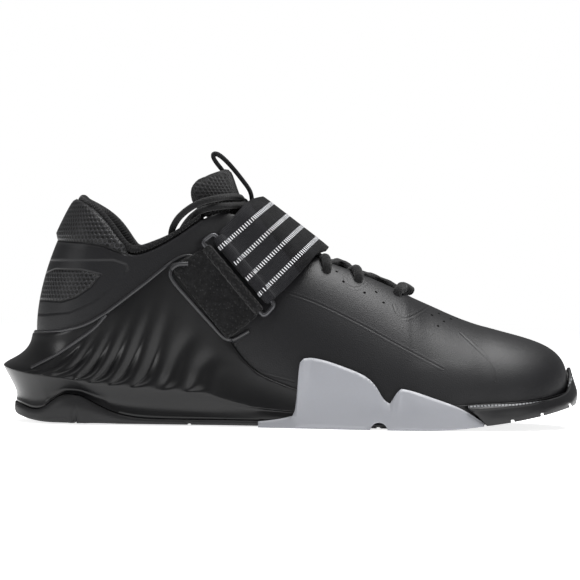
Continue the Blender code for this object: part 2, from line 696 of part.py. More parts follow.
def build_sidewalls():
    """Grey forefoot sidewall on each side, with a notch at the flex line."""
    places = [station_of(x) for x in (-15.6, -8, -1, 2.4, 3.8, 4.6, 5.2, 6, 8, 11.5, 17, 23, 29, 35, 40, 43, 46, 48.4,
                                      50.4, 53, 54.2, 55.6, 57, 59, 63, 68, 75, 82, 89, 96, 102.6)]
    notch = flex_notch()

    def section(at, side):
        low = bottom_at(at, side, feather(at, side))
        top = max(column(WAVE, "top_z", at - HEEL_ARC + HEEL_PIVOT_X), low + 0.8)
        return wrap_section(at, side, low, top, (3.4, 3.2, 2.6, 1.6))

    for name, side in SIDES.items():
        wrap = strip("sidewall_" + name, [(at, side) for at in places], section, (0.36, 0.37, 0.40), 0.5)
        cut(wrap, notch)


def flex_notch():
    bpy.ops.mesh.primitive_cylinder_add(vertices=16, radius=4.6 * MM, depth=160 * MM,
                                        location=(47.4 * MM, 0, -0.6 * MM), rotation=(math.pi / 2, 0, 0))
    notch = bpy.context.object
    notch.name = "flex_notch"
    return as_cutter(notch)


def build_toe_bumper(grooves):
    """Rubber bumper round the toe, over the ends of the grey sidewalls."""
    places = stations((248, 258, 2), (258, TOE_STATION, 9))

    def section(at, side):
        x = at - HEEL_ARC + HEEL_PIVOT_X
        ground = bottom_at(at, side, feather(at, side) + 2.0)
        low = max(ground, column(WAVE, "top_z", x) + 1.7) if x < 103.2 else ground
        return wrap_section(at, side, low, column(BUMPER, "top_z", at), (2.8, 3.5, 3.5, 2.6, 1.7))

    around = [(at, -1.0) for at in places] + [(at, 1.0) for at in reversed(places[:-1])]
    bumper = strip("toe_bumper", around, section, (0.02, 0.02, 0.022), 0.6)
    for groove in grooves:
        cut(bumper, groove)


def build_collar():
    """Padded knit collar: a roll over the top edge that lines the heel and the ankle."""
    places = stations((0, 52, 6), (52, 72, 4), (72, 106, 4))
    around = [(at, -1.0) for at in reversed(places)] + [(at, 1.0) for at in places[1:]]

    def section(at, side):
        padding = 7.5 - 4.0 * smooth_step((at - 40) / 66)
        low = share_at(at, side, 66.0 + 14.0 * smooth_step((at - 60) / 50))
        behind = WALL + 0.9
        shares = (low, low + (1 - low) * 0.33, low + (1 - low) * 0.67, 1.0)
        rows = [wall(at, side, s, behind) for s in shares]
        edge_out, edge_z = wall(at, side, 1.0, 0.0)
        rows += [(rows[-1][0], edge_z + 1.0), (edge_out - 0.6, edge_z + 1.0), (edge_out - 1.4, edge_z + 2.8),
                 (edge_out - 3.4, edge_z + 3.9), (edge_out - 0.75 * padding - 2.0, edge_z + 1.6)]
        rows += [wall(at, side, low + (1 - low) * 0.8, behind + padding),
                 wall(at, side, low + (1 - low) * 0.4, behind + padding * 0.9),
                 wall(at, side, low, behind + 1.4)]
        return rows

    return strip("collar", around, section, (0.02, 0.02, 0.022), 0.95)


def tongue_top(row, across):
    """Point of the tongue's upper face, across its section from -1 to 1."""
    offset = across * row.half_width
    drop = row.drop * abs(across) ** 2.2
    lean = math.radians(row.lean)
    x = row.x - math.sin(lean) * drop
    z = row.z - math.cos(lean) * drop
    y = spine(row.x) + offset
    if row.lean < 20:
        at = station_of(x)
        side = -1.0 if offset < 0 else 1.0
        limit = under_face(at, side, abs(offset))
        z = min(z, limit - 1.1)
    return Vector((x, y, z))


def under_face(at, side, out):
    """Height of the upper's inner face at a distance from the spine."""
    low, high = 0.2, 1.0
    if out <= wall(at, side, 1.0, WALL)[0]:
        return 1e3 if out < wall(at, side, 1.0)[0] - 4.0 else wall(at, side, 1.0, WALL + 0.4)[1]
    for _ in range(24):
        middle = (low + high) / 2
        if wall(at, side, middle, WALL + 0.4)[0] > out:
            low = middle
        else:
            high = middle
    return wall(at, side, (low + high) / 2, WALL + 0.4)[1]


def build_tongue():
    count = 8
    across = [-1 + 2 * i / count for i in range(count + 1)]
    bm = bmesh.new()
    sections = []
    for row in TONGUE:
        lean = math.radians(row.lean)
        down = Vector((-math.sin(lean), 0, -math.cos(lean)))
        top = [tongue_top(row, a) for a in across]
        under = [p + down * row.thickness * (0.45 + 0.55 * (1 - abs(a) ** 3)) for p, a in zip(top, across)]
        sections.append([bm.verts.new(p * MM) for p in top + under[::-1]])
    skin(bm, sections)
    cap_flat(bm, sections[0], reverse=False)
    cap_flat(bm, sections[-1], reverse=True)
    bmesh.ops.recalc_face_normals(bm, faces=bm.faces)
    return finish_mesh("tongue", bm, (0.02, 0.02, 0.022), 0.95)


def band(name, rows, thickness, colour, roughness):
    """Flat band through rows of points, thickened outwards by the rows' own normals."""
    bm = bmesh.new()
    count = len(rows[0])
    outer = []
    for k, row in enumerate(rows):
        ahead = rows[min(k + 1, len(rows) - 1)]
        behind = rows[max(k - 1, 0)]
        line = []
        for i, place in enumerate(row):
            along = ahead[i] - behind[i]
            sideways = row[min(i + 1, count - 1)] - row[max(i - 1, 0)]
            line.append(place + along.cross(sideways).normalized() * thickness)
        outer.append(line)
    sections = [[bm.verts.new(p * MM) for p in inner + out[::-1]] for inner, out in zip(rows, outer)]
    skin(bm, sections)
    cap_flat(bm, sections[0], reverse=False)
    cap_flat(bm, sections[-1], reverse=True)
    bmesh.ops.recalc_face_normals(bm, faces=bm.faces)
    return finish_mesh(name, bm, colour, roughness)


def bar_ends(bar, extra=0.0):
    """Ends of a ring's straight bar beside the lateral face, with its ends moved out."""
    back = on_side(*bar[0], -1.0, RING_STAND_OFF)
    front = on_side(*bar[1], -1.0, RING_STAND_OFF)
    along = (front - back).normalized()
    return back - along * extra, front + along * extra


def fold(obj, bar, name):
    """Rolled fold round a bar of the ring, with room for the bar."""
    back, front = bar_ends(bar)
    along = (front - back).normalized()
    roll = tube(name + "_roll", [back + along * 0.4, front - along * 0.4], FOLD_RADIUS, (0, 0, 0), 0.9)
    hole = tube(name + "_hole", [back - along * 6, front + along * 6], WIRE_RADIUS + GAP, (0, 0, 0), 0.9)
    cut(roll, as_cutter(hole))
    cut(obj, as_cutter(roll), "UNION")


def from_bar(bar, following):
    """Row of points where a band leaves the fold round a bar, on its way to the following row."""
    back, front = bar_ends(bar)
    row = []
    for i, place in enumerate(following):
        start = back.lerp(front, i / (len(following) - 1))
        row.append(start + (place - start).normalized() * (FOLD_RADIUS - 0.5))
    return row


def build_strap():
    rows = []
    for row in STRAP:
        line = []
        for i in range(STRAP_COLUMNS + 1):
            u = i / STRAP_COLUMNS
            x = row.back_x + (row.front_x - row.back_x) * u
            z = row.back_z + (row.front_z - row.back_z) * u
            if row.back_half:
                half = row.back_half + (row.front_half - row.back_half) * u
                line.append(Vector((x, spine(x) + row.side * half, z - STRAP_THICKNESS)))
            else:
                line.append(on_side(x, z, row.side, row.stand_off - 0.5 * STRAP_THICKNESS))
        rows.append(line)
    rows[0] = from_bar(RING_UPPER_BAR, rows[1])
    strap = band("strap", rows, STRAP_THICKNESS, (0.03, 0.03, 0.033), 0.8)
    fold(strap, RING_UPPER_BAR, "strap_fold")
    return strap


def build_anchor_tab():
    rows = []
    for row in TAB:
        line = []
        for i in range(STRAP_COLUMNS + 1):
            u = i / STRAP_COLUMNS
            x = row.back_x + (row.front_x - row.back_x) * u
            z = row.back_z + (row.front_z - row.back_z) * u
            line.append(on_side(x, z, -1.0, row.stand_off))
        rows.append(line)
    rows[0] = from_bar(RING_LOWER_BAR, rows[1])
    tab = band("anchor_tab", rows[::-1], TAB_THICKNESS, (0.015, 0.015, 0.016), 0.95)
    fold(tab, RING_LOWER_BAR, "tab_fold")
    return tab


def build_ring():
    """Rectangular wire loop that joins strap and anchor tab."""
    upper_back, upper_front = bar_ends(RING_UPPER_BAR, RING_OVERHANG)
    lower_back, lower_front = bar_ends(RING_LOWER_BAR, RING_OVERHANG)
    route = []
    corners = (upper_back, upper_front, lower_front, lower_back)
    for k, corner in enumerate(corners):
        before = (corners[k - 1] - corner).normalized()
        after = (corners[(k + 1) % 4] - corner).normalized()
        radius = 2.4
        for i in range(4):
            u = i / 3
            route.append(corner + before * radius * (1 - u) ** 2 + after * radius * u * u)
    return tube("strap_ring", route, WIRE_RADIUS, (0.05, 0.05, 0.052), 0.3, 0.9, cyclic=True)


def build_lace_bars():
    """Crossed lace over the tongue: two strands that zigzag between the rows, and the bar at the first."""
    stand = LACE_RADIUS + 0.6

    def lift(x):
        return 0.7 * smooth_step((-5.0 - x) / 15.0)

    def eyelet(x, side):
        at = station_of(x)
        edge = wall(at, side, 1.0)[0]
        low, high = 0.3, 1.0
        for _ in range(20):
            middle = (low + high) / 2
            if wall(at, side, middle)[0] > edge + EYELET_OUT:
                low = middle
            else:
                high = middle
        out, z = wall(at, side, (low + high) / 2, -stand - 0.5 - lift(x))
        return Vector((x, spine(x) + side * out, z))

    def edge(x, side):
        out, z = wall(station_of(x), side, 1.0)
        return Vector((x, spine(x) + side * (out - 0.5), z + stand + 0.8 + lift(x)))

    def crown(x):
        table = sorted(TONGUE, key=lambda row: row.x)
        k = max(i for i in range(len(table) - 1) if table[i].x <= x)
        u = (x - table[k].x) / (table[k + 1].x - table[k].x)
        z = table[k].z + (table[k + 1].z - table[k].z) * u
        return Vector((x, spine(x), z + stand + 0.1))

    def strand(first):
        side = first
        route = [eyelet(LACE_ROWS[0], side)]
        for x, following in zip(LACE_ROWS, LACE_ROWS[1:]):
            span = following - x
            route += [edge(x + 0.12 * span, side), crown(x + 0.5 * span), edge(x + 0.88 * span, -side),
                      eyelet(following, -side)]
            side = -side
        return route

    colour, roughness = (0.02, 0.02, 0.022), 0.9
    lace = tube("lace_bars", strand(-1.0), LACE_RADIUS, colour, roughness, detail=1)
    other = tube("lace_other", strand(1.0), LACE_RADIUS, colour, roughness, detail=1)
    x = LACE_ROWS[0]
    first = [eyelet(x, -1.0), edge(x, -1.0), crown(x), edge(x, 1.0), eyelet(x, 1.0)]
    across = tube("lace_across", first, LACE_RADIUS * 0.97, colour, roughness, detail=1)
    cut(lace, as_cutter(other), "UNION")
    cut(lace, as_cutter(across), "UNION")
    return lace


def build_bow():
    """Knot, loops and ends of the lace behind the strap."""
    colour, roughness = (0.02, 0.02, 0.022), 0.9
    bm = bmesh.new()
    bmesh.ops.create_uvsphere(bm, u_segments=12, v_segments=8, radius=1.0 * MM)
    bmesh.ops.scale(bm, vec=KNOT_HALF_SIZES, verts=bm.verts)
    bmesh.ops.translate(bm, vec=Vector(KNOT) * MM, verts=bm.verts)
    finish_mesh("lace_knot", bm, colour, roughness)
    for name, route, count in (("lace_loop_lateral", LOOP_LATERAL, 20), ("lace_loop_medial", LOOP_MEDIAL, 18),
                               ("lace_end_lateral", END_LATERAL, 10), ("lace_end_medial", END_MEDIAL, 10)):
        tube(name, smooth_route(route, count), BOW_RADIUS, colour, roughness, detail=1)


def build_pull_loop():
    route = smooth_route([(x, 0.0, z) for x, z in PULL_LOOP], 22)
    rows = []
    for place in route:
        y = spine(place.x)
        rows.append([Vector((place.x, y + PULL_LOOP_WIDTH * u, place.z)) for u in (0.5, 0.0, -0.5)])
    return band("pull_loop", rows, PULL_LOOP_THICKNESS, (0.02, 0.02, 0.02), 0.8)


def centre_on_ground():
    """Move all that stands on the ground or hangs on it so that the origin is under the middle."""
    bpy.context.view_layer.update()
    graph = bpy.context.evaluated_depsgraph_get()
    free = ("lace_knot", "lace_loop", "lace_end")
    low = Vector((1e9,) * 3)
    high = Vector((-1e9,) * 3)
    for obj in SHOE.objects:
        if obj.name.startswith(free):
            continue
        mesh = obj.evaluated_get(graph).to_mesh()
        for vertex in mesh.vertices:
            place = obj.matrix_world @ vertex.co
            low = Vector(map(min, low, place))
            high = Vector(map(max, high, place))
    shift = Vector((-(low.x + high.x) / 2, -(low.y + high.y) / 2, -low.z))
    for obj in list(SHOE.objects) + list(CUTTERS.objects):
        obj.location += shift
    print("shift in mm", [round(c / MM, 3) for c in shift])


for old in list(bpy.data.objects):
    bpy.data.objects.remove(old)
SHOE = bpy.data.collections.new("weightlifting_shoe")
CUTTERS = bpy.data.collections.new("cutters")
bpy.context.scene.collection.children.link(SHOE)
bpy.context.scene.collection.children.link(CUTTERS)

tread = {x: tread_groove(x) for x in TREAD_GROOVES}
build_outsole(tread.values())
build_midsole()
build_upper()
build_insole()
build_sidewalls()
build_toe_bumper([groove for x, groove in tread.items() if x > BUMPER_START_X])
build_collar()
build_tongue()
build_strap()
build_anchor_tab()
build_ring()
build_lace_bars()
build_bow()
build_pull_loop()
centre_on_ground()
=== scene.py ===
"""Weightlifting shoe, right foot, dressed for a studio picture.

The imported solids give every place. The named pieces are smoothed copies of them with their seams,
windows and trims, and small parts of their own. Lengths are in metres where nothing else is said, and
drawn lines are in pixels of the side view, which the stage's camera repeats.
"""
import math

import bmesh
import bpy
import numpy as np
from bpy.props import FloatProperty, FloatVectorProperty, IntProperty, PointerProperty
from mathutils import Matrix, Vector
from mathutils.bvhtree import BVHTree


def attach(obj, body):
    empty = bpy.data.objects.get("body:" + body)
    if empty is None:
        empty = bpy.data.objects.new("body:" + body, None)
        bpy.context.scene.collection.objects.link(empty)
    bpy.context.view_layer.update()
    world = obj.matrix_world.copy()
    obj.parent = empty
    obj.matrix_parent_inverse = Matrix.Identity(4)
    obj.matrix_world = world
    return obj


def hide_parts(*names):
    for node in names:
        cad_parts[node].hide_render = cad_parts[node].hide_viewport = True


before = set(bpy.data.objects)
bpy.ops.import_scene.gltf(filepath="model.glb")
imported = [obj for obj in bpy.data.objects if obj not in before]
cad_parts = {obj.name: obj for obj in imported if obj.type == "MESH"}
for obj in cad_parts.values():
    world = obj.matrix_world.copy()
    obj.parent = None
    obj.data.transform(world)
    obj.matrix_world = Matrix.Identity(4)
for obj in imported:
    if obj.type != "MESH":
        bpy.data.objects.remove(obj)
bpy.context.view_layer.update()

bl_info = {
    "name": "Weightlifting shoe",
    "version": (1, 0, 0),
    "blender": (4, 5, 0),
    "location": "View3D > Sidebar > Shoe",
    "description": "Builds the visible pieces, materials and stage of a weightlifting shoe",
    "category": "Object",
}

MM = 0.001

# Side view: metres for each pixel at the shoe's middle plane, the picture's middle, the camera's
# distance and how far the picture is turned clockwise
PIXEL = 0.00054
PICTURE_MIDDLE = 290.0
EYE = Vector((-0.0013, -1.40, 0.0723))
TURN = math.radians(0.764)
SENSOR = 36.0
SIDES = ((-1, "lateral"), (1, "medial"))

# The shoe's middle line: straight at the heel, then swinging to the medial side towards the toe
SPINE_START_X = -0.07155
SPINE_END_X = 0.10245
SPINE_Y = 0.001472
SPINE_SWING = 0.009
# Middle of the heel's round, and the way round it from its back to one side
HEEL_PIVOT_X = -0.10355
HEEL_ARC = 0.052

# The strap's lean, and the middle height and radius of its bend over the instep
STRAP_COS, STRAP_SIN = 29.0 / 43.8, 32.8 / 43.8
STRAP_MIDDLE = 42 * MM
STRAP_RADIUS = 40 * MM
# Rays that find the strap's stripes: how many, degrees to each side, how deep under the crown they meet,
# where they start, the nearest hit that counts and the longest step between two hits
STRIPE_RAYS, STRIPE_SWING = 160, 112
STRIPE_HEART, STRIPE_START, STRIPE_NEAREST, STRIPE_STEP = 30 * MM, 120 * MM, 18 * MM, 12 * MM

# Front of the upper where the solid's facets leave a fold, and how many times it is relaxed
VAMP_FROM, VAMP_TO, VAMP_ABOVE = 62 * MM, 92 * MM, 34 * MM
VAMP_PASSES = 20

# Millimetres over which the heel tab's padding rises from the tab's outline
TAB_FADE = 2.4
# Collar padding in millimetres: all round, and at the heel on each side, where the medial roll shows over
# the lateral one; the way the roll faces, and where the heel's padding starts and how far it takes to rise
COLLAR_PAD, HEEL_PAD_LATERAL, HEEL_PAD_MEDIAL = 0.6, 1.8, 4.6
ROLL_FACES = (0.62, 0.0, 0.78)
HEEL_PAD_BEHIND, HEEL_PAD_FADE = 64 * MM, 12 * MM
HEEL_PAD_ABOVE, HEEL_PAD_HEIGHT = 86 * MM, 34 * MM

# Copies of solids: distance that merges, angles within which triangles join, angle that stays sharp
MERGE = 0.01 * MM
JOIN_FACES = math.radians(50)
JOIN_SHAPES = math.radians(80)
SHARP = math.radians(50)

# Steps of a drawn line's curve and of a route on a surface, and how many times the route is smoothed
LINE_STEPS, ROUTE_STEPS, ROUTE_PASSES = 40, 80, 4
# Drawn lines: past its ends a line's distance grows this much faster, and no distance is farther than this
# many pixels; height of a row of holes in a staggered grid, over its pitch
PAST_END = 3.0
FAR = 50.0
HOLE_ROW = 0.866

# Drawn lines of the side view
HEEL_TAB = [(30, 243), (55, 240), (82, 242), (102, 245), (114, 250), (126, 254), (131, 250), (118, 236),
            (104, 215), (95, 201), (87, 186), (60, 186), (30, 215)]
COUNTER_OVAL = [(20, 260), (51, 260), (88, 260), (114, 260), (126.5, 264.5), (127.6, 270.6), (114, 287),
                (92, 303), (69, 313), (45, 315), (20, 315)]
COUNTER_WINDOW = [(20, 275), (44, 275), (55, 269.6), (82, 270.6), (100, 275), (90, 287), (75, 297),
                  (61, 301), (44, 300), (20, 299)]
SEAMS = [
    [(237, 340.5), (235, 351), (241.5, 361.6), (258, 372), (296, 382.6)],
    [(280, 290), (318, 303.6), (360, 324), (404, 348), (446.5, 370.5)],
    [(460, 332), (474, 345), (488.5, 359), (495, 370), (498, 384)],
    [(393, 303), (397, 313), (404, 319), (416, 315), (431, 305.5)],
    [(343, 276), (347, 284), (354, 288), (362, 286), (368, 281)],
    [(55, 240), (82, 242), (102, 245), (114, 250), (128, 256)],
]
PERFORATIONS = [(325, 272), (336.7, 271.6), (343.5, 281.6), (364.6, 292.6), (376.2, 292), (383.6, 302.6),
                (432, 315), (439, 313.5), (444, 321.4), (438, 326), (451, 319), (457, 318)]
TAB_RIM = [(188, 264), (178, 264.6), (171.6, 270), (172.6, 280), (193, 304), (212, 325), (224, 337.5),
           (233, 339.5), (249, 331)]
CRADLE_EDGE = [(30, 332), (36, 332), (61, 331), (82, 326), (102, 315.5), (122, 301), (143, 285), (161, 270.6),
               (173.5, 261), (184, 256), (194, 256.5), (202, 261)]
# Line beyond which the strap is painted paler, as painted light over the instep
STRAP_LIGHT_LINE = [(244, 195), (260, 218), (287, 255), (300, 273)]
STRIPES = [((219, 251), (273.4, 201)), ((233.8, 266.5), (288.7, 213.5)), ((247.3, 280), (302.5, 225)),
           ((260, 294.6), (317.8, 236.4))]
BUMPER_STITCH = [(575, 376), (571, 385), (563, 393), (552, 398), (539, 402), (520, 405.4),
                 (495, 406.4), (462, 408)]
BUMPER_RIDGE = [(462, 411.5), (469, 411), (495, 409), (520, 406), (539, 402.5), (558.6, 395), (568, 388)]
CRADLE_RIDGE = [(31, 368), (37, 365), (61, 352), (92, 330), (106, 315)]

# Free lace behind the strap: routes of its loops and ends in the part's own millimetres, and the shift
# from there to the frame
LOOP_LATERAL = [(-26.0, -2.6, 120.0), (-27.2, -5.6, 121.6), (-30.0, -10.5, 122.0), (-34.0, -18.0, 121.6),
                (-39.5, -26.0, 120.4), (-46.5, -30.0, 118.4), (-53.5, -29.5, 114.8), (-60.0, -25.0, 109.0),
                (-63.4, -18.5, 101.5), (-61.0, -15.0, 93.5), (-55.0, -14.0, 91.0), (-50.0, -14.0, 96.0)]
LOOP_MEDIAL = [(-26.0, 4.6, 120.0), (-27.2, 7.6, 121.6), (-30.0, 12.5, 122.0), (-34.0, 20.0, 121.4),
               (-41.0, 28.0, 119.6), (-49.0, 30.0, 116.4), (-56.5, 25.0, 109.5), (-60.0, 17.5, 101.0),
               (-55.0, 14.5, 94.5), (-50.0, 14.0, 99.0)]
END_LATERAL = [(-25.4, -3.6, 118.6), (-26.6, -7.6, 117.6), (-30.0, -14.5, 117.2), (-36.0, -23.6, 116.4),
               (-42.5, -26.0, 115.4), (-49.0, -22.4, 113.2), (-53.0, -16.8, 107.6)]
END_MEDIAL = [(-25.4, 5.6, 118.6), (-26.6, 9.6, 117.6), (-30.0, 16.5, 117.2), (-36.0, 25.0, 116.2),
              (-42.5, 27.4, 115.0), (-49.0, 23.6, 112.8), (-53.0, 18.0, 107.4)]
CORD_SHIFT = Vector((-1.55, 1.472, 0.0))
# Rows where the lace goes over the throat's edge, and how far its inner end lies behind its eyelet
LACE_ROWS_MM = ((56.0, -8.0), (35.0, 5.0), (18.0, 4.0), (2.5, 4.0))
# A hump of lace in such a row, in millimetres: how far out from the throat's edge, how far above the
# leather, and its share of the row's slant; then the steps that find the edge
HUMP_OVER_THROAT = ((-4.0, -0.6, 1.0), (-1.6, 1.0, 0.7), (0.6, 1.7, 0.45))
HUMP_ON_LEATHER = ((3.0, 2.0, 0.3), (5.6, 1.8, 0.12), (8.0, 1.2, 0.0), (9.6, -1.4, 0.0))
HUMP_STEP = 0.25 * MM
HUMP_TRIES = range(4, 120)
HUMP_POINTS = 24
# Height from which the leather is felt for, its lowest height beside the throat and its least slope
FEEL_FROM = 200 * MM
THROAT_LOWEST = 45 * MM
THROAT_SLOPE = 0.1
# The crossed lace is let down into the throat, in millimetres: at its middle, and more at its sides
LACE_DROP, LACE_SIDE_DROP = 0.9, 1.3

# Soft lights: name, place, what each points at, size and watts
LIGHTS = (("key", (-0.35, -0.75, 1.6), (0.0, 0.0, 0.05), 0.9, 4.5),
          ("top", (0.35, 0.10, 1.4), (0.05, 0.0, 0.05), 0.8, 24),
          ("front", (1.0, -1.2, 0.5), (0.05, 0.0, 0.05), 0.6, 3.5),
          ("heel", (-1.5, -0.6, 0.6), (-0.05, 0.0, 0.05), 0.5, 4))
SKY_STRENGTH = 0.19
FLOOR_GLOW = 0.80
FLOOR_REACH = 4.0
FLOOR_BELOW = 0.2 * MM


def length_property(name, description, millimetres, least=0.0):
    return FloatProperty(name=name, description=description, default=millimetres * MM, min=least * MM,
                         unit="LENGTH")


class ShoeSizes(bpy.types.PropertyGroup):
    """Sizes that a maker would change."""
    seam_width: length_property("Seam width", "Width of a pressed seam in the leather", 1.5)
    grain: length_property("Grain", "Size of one cell of the leather's grain", 1.1, 0.2)
    mesh_pitch: length_property("Mesh pitch", "Distance between holes of the spacer mesh", 2.6, 0.5)
    perforation: length_property("Perforation", "Radius of a hole punched in the leather", 0.75, 0.1)
    tab_padding: length_property("Heel tab", "How far the heel tab stands out of the leather", 2.3)
    tongue_padding: length_property("Tongue", "How far the tongue's top fills out its solid", 2.6)
    cradle_bead: length_property("Cradle bead", "Radius of the raised beads of the heel cradle", 0.95, 0.1)
    tab_rim: length_property("Tab rim", "Radius of the moulded rim round the anchor tab", 1.2, 0.1)
    strap_swell: length_property("Strap swell", "How far the strap fills out its solid", 0.8)
    stripe_pitch: length_property("Stripe pitch", "Distance between strokes of a strap stripe", 1.55, 0.5)
    stripe_stroke: length_property("Stroke", "Length of one stroke across its stripe", 2.3, 0.5)
    stripe_thread: length_property("Thread", "Width of one stroke", 0.5, 0.2)
    stripe_height: length_property("Stroke height", "Thickness of one stroke", 0.14, 0.02)
    lace_diameter: length_property("Lace", "Diameter of the round lace", 3.6, 1.0)
    lace_swell: length_property("Lace swell", "How far the crossed lace fills out its solid", 0.7)
    lace_hump: length_property("Lace hump", "Radius of the lace over the throat's edge", 2.6, 0.5)
    loop_swell: length_property("Pull loop swell", "How far the pull loop fills out its solid", 0.5)
    stitch_pitch: length_property("Stitch pitch", "Distance between stitches", 1.9, 0.5)
    smoothness: IntProperty(name="Smoothness", description="Subdivision levels of the large pieces",
                            default=2, min=0, max=3)


def colour_property(name, description, value):
    return FloatVectorProperty(name=name, description=description, default=value, size=3, min=0, max=1,
                               subtype="COLOR")


class ShoeColours(bpy.types.PropertyGroup):
    """Colours of the finishes."""
    leather: colour_property("Leather", "Matt black upper", (0.0062, 0.0062, 0.0074))
    cradle: colour_property("Cradle", "Glossy moulded heel cradle", (0.0045, 0.0045, 0.005))
    rubber: colour_property("Rubber", "Outsole and toe bumper", (0.0060, 0.0060, 0.0068))
    sidewall: colour_property("Sidewall", "Grey forefoot sidewall", (0.292, 0.298, 0.322))
    knit: colour_property("Knit", "Collar and tongue cloth", (0.0065, 0.0065, 0.0072))
    strap: colour_property("Strap", "Woven elastic strap", (0.0034, 0.0034, 0.0042))
    stripe: colour_property("Stripe", "Strokes of the strap's stripes", (0.80, 0.81, 0.84))
    stitch: colour_property("Stitch", "Light stitches of the toe bumper", (0.20, 0.205, 0.215))
    lining: colour_property("Lining", "Textile inside the upper", (0.009, 0.009, 0.0095))
    lace: colour_property("Lace", "Round lace", (0.0065, 0.0065, 0.0072))
    floor: colour_property("Floor", "Studio floor", (0.93, 0.93, 0.93))


def sizes():
    return bpy.context.scene.shoe_sizes


def colours():
    return bpy.context.scene.shoe_colours


class Finish:
    """A Principled material of a colour, roughness and specular level, with helpers that add its nodes."""

    def __init__(self, name, colour, roughness, specular=0.5, **sockets):
        self.material = bpy.data.materials.new(name)
        self.material.use_nodes = True
        tree = self.material.node_tree
        self.nodes, self.links = tree.nodes, tree.links
        self.shader = self.nodes["Principled BSDF"]
        self.shader.inputs["Base Color"].default_value = (*colour, 1)
        self.shader.inputs["Roughness"].default_value = roughness
        self.shader.inputs["Specular IOR Level"].default_value = specular
        for socket, value in sockets.items():
            self.shader.inputs[socket.replace("_", " ")].default_value = value
        self.coords = self.nodes.new("ShaderNodeTexCoord").outputs["Object"]
        self.normal = None
        self.colour = colour

    def add(self, kind, inputs=(), **settings):
        """Adds a node; inputs are (socket, value or output) pairs."""
        node = self.nodes.new("ShaderNode" + kind)
        for key, value in settings.items():
            setattr(node, key, value)
        for socket, value in inputs:
            if isinstance(value, bpy.types.NodeSocket):
                self.links.new(value, node.inputs[socket])
            else:
                node.inputs[socket].default_value = value
        return node

    def math(self, operation, first, second=0.0, third=0.0):
        return self.add("Math", [(0, first), (1, second), (2, third)], operation=operation).outputs[0]

    def attribute(self, name, output="Fac"):
        return self.add("Attribute", attribute_name=name).outputs[output]

    def line(self, name):
        """Distance from a drawn line in millimetres, with its ends closed, and the place along it."""
        parts = self.add("SeparateXYZ", [(0, self.attribute(name, "Vector"))]).outputs
        return self.math("MULTIPLY_ADD", parts[1], PAST_END, self.math("ABSOLUTE", parts[0])), parts[2]

    def nearest(self, name, count):
        """Distance from the nearest of several drawn lines."""
        best = self.line(name + "0")[0]
        for i in range(1, count):
            best = self.math("MINIMUM", best, self.line(f"{name}{i}")[0])
        return best

    def noise(self, scale, detail=3.0, roughness=0.5):
        return self.add("TexNoise", [("Vector", self.coords), ("Scale", scale), ("Detail", detail),
                                     ("Roughness", roughness)]).outputs["Fac"]

    def cells(self, scale, feature="DISTANCE_TO_EDGE", randomness=1.0):
        return self.add("TexVoronoi", [("Vector", self.coords), ("Scale", scale),
                                       ("Randomness", randomness)], feature=feature).outputs["Distance"]

    def skin(self):
        """Flat place on the surface that a pattern follows."""
        return self.attribute("skin", "Vector")

    def wave(self, value, length):
        return self.math("SINE", self.math("MULTIPLY", value, 2 * math.pi / length))

    def ramp(self, value, low, high, to_low=0.0, to_high=1.0):
        """Smooth step of a value from one limit to the other."""
        return self.add("MapRange", [("Value", value), ("From Min", low), ("From Max", high),
                                     ("To Min", to_low), ("To Max", to_high)],
                        interpolation_type="SMOOTHSTEP").outputs["Result"]

    def bump(self, height, distance, strength=1.0):
        inputs = [("Height", height), ("Distance", distance), ("Strength", strength)]
        if self.normal:
            inputs.append(("Normal", self.normal))
        self.normal = self.add("Bump", inputs).outputs["Normal"]
        self.links.new(self.normal, self.shader.inputs["Normal"])

    def tint(self, factor, other):
        """Base colour that turns to another where the factor is 1."""
        mix = self.add("Mix", [(0, factor)], data_type="RGBA")
        socket = self.shader.inputs["Base Color"]
        if socket.is_linked:
            self.links.new(socket.links[0].from_socket, mix.inputs["A"])
        else:
            mix.inputs["A"].default_value = (*self.colour, 1)
        mix.inputs["B"].default_value = (*other, 1)
        self.links.new(mix.outputs["Result"], socket)

    def roughen(self, factor, low, high):
        self.links.new(self.ramp(factor, 0.0, 1.0, low, high), self.shader.inputs["Roughness"])

    def holes(self, pitch, coords):
        """Distance to the nearest hole of a staggered grid, over its pitch: 0 at a hole's middle."""
        parts = []
        for shift in ((0, 0, 0), (0.5 * pitch, HOLE_ROW * pitch, 0)):
            place = coords
            for operation, value in (("ADD", shift), ("DIVIDE", (pitch, 2 * HOLE_ROW * pitch, 1)),
                                     ("FRACTION", None), ("SUBTRACT", (0.5, 0.5, 0)),
                                     ("MULTIPLY", (1, 2 * HOLE_ROW, 0))):
                inputs = [(0, place)] + ([(1, value)] if value else [])
                place = self.add("VectorMath", inputs, operation=operation).outputs[0]
            parts.append(self.add("VectorMath", [(0, place)], operation="LENGTH").outputs["Value"])
        return self.math("MINIMUM", *parts)


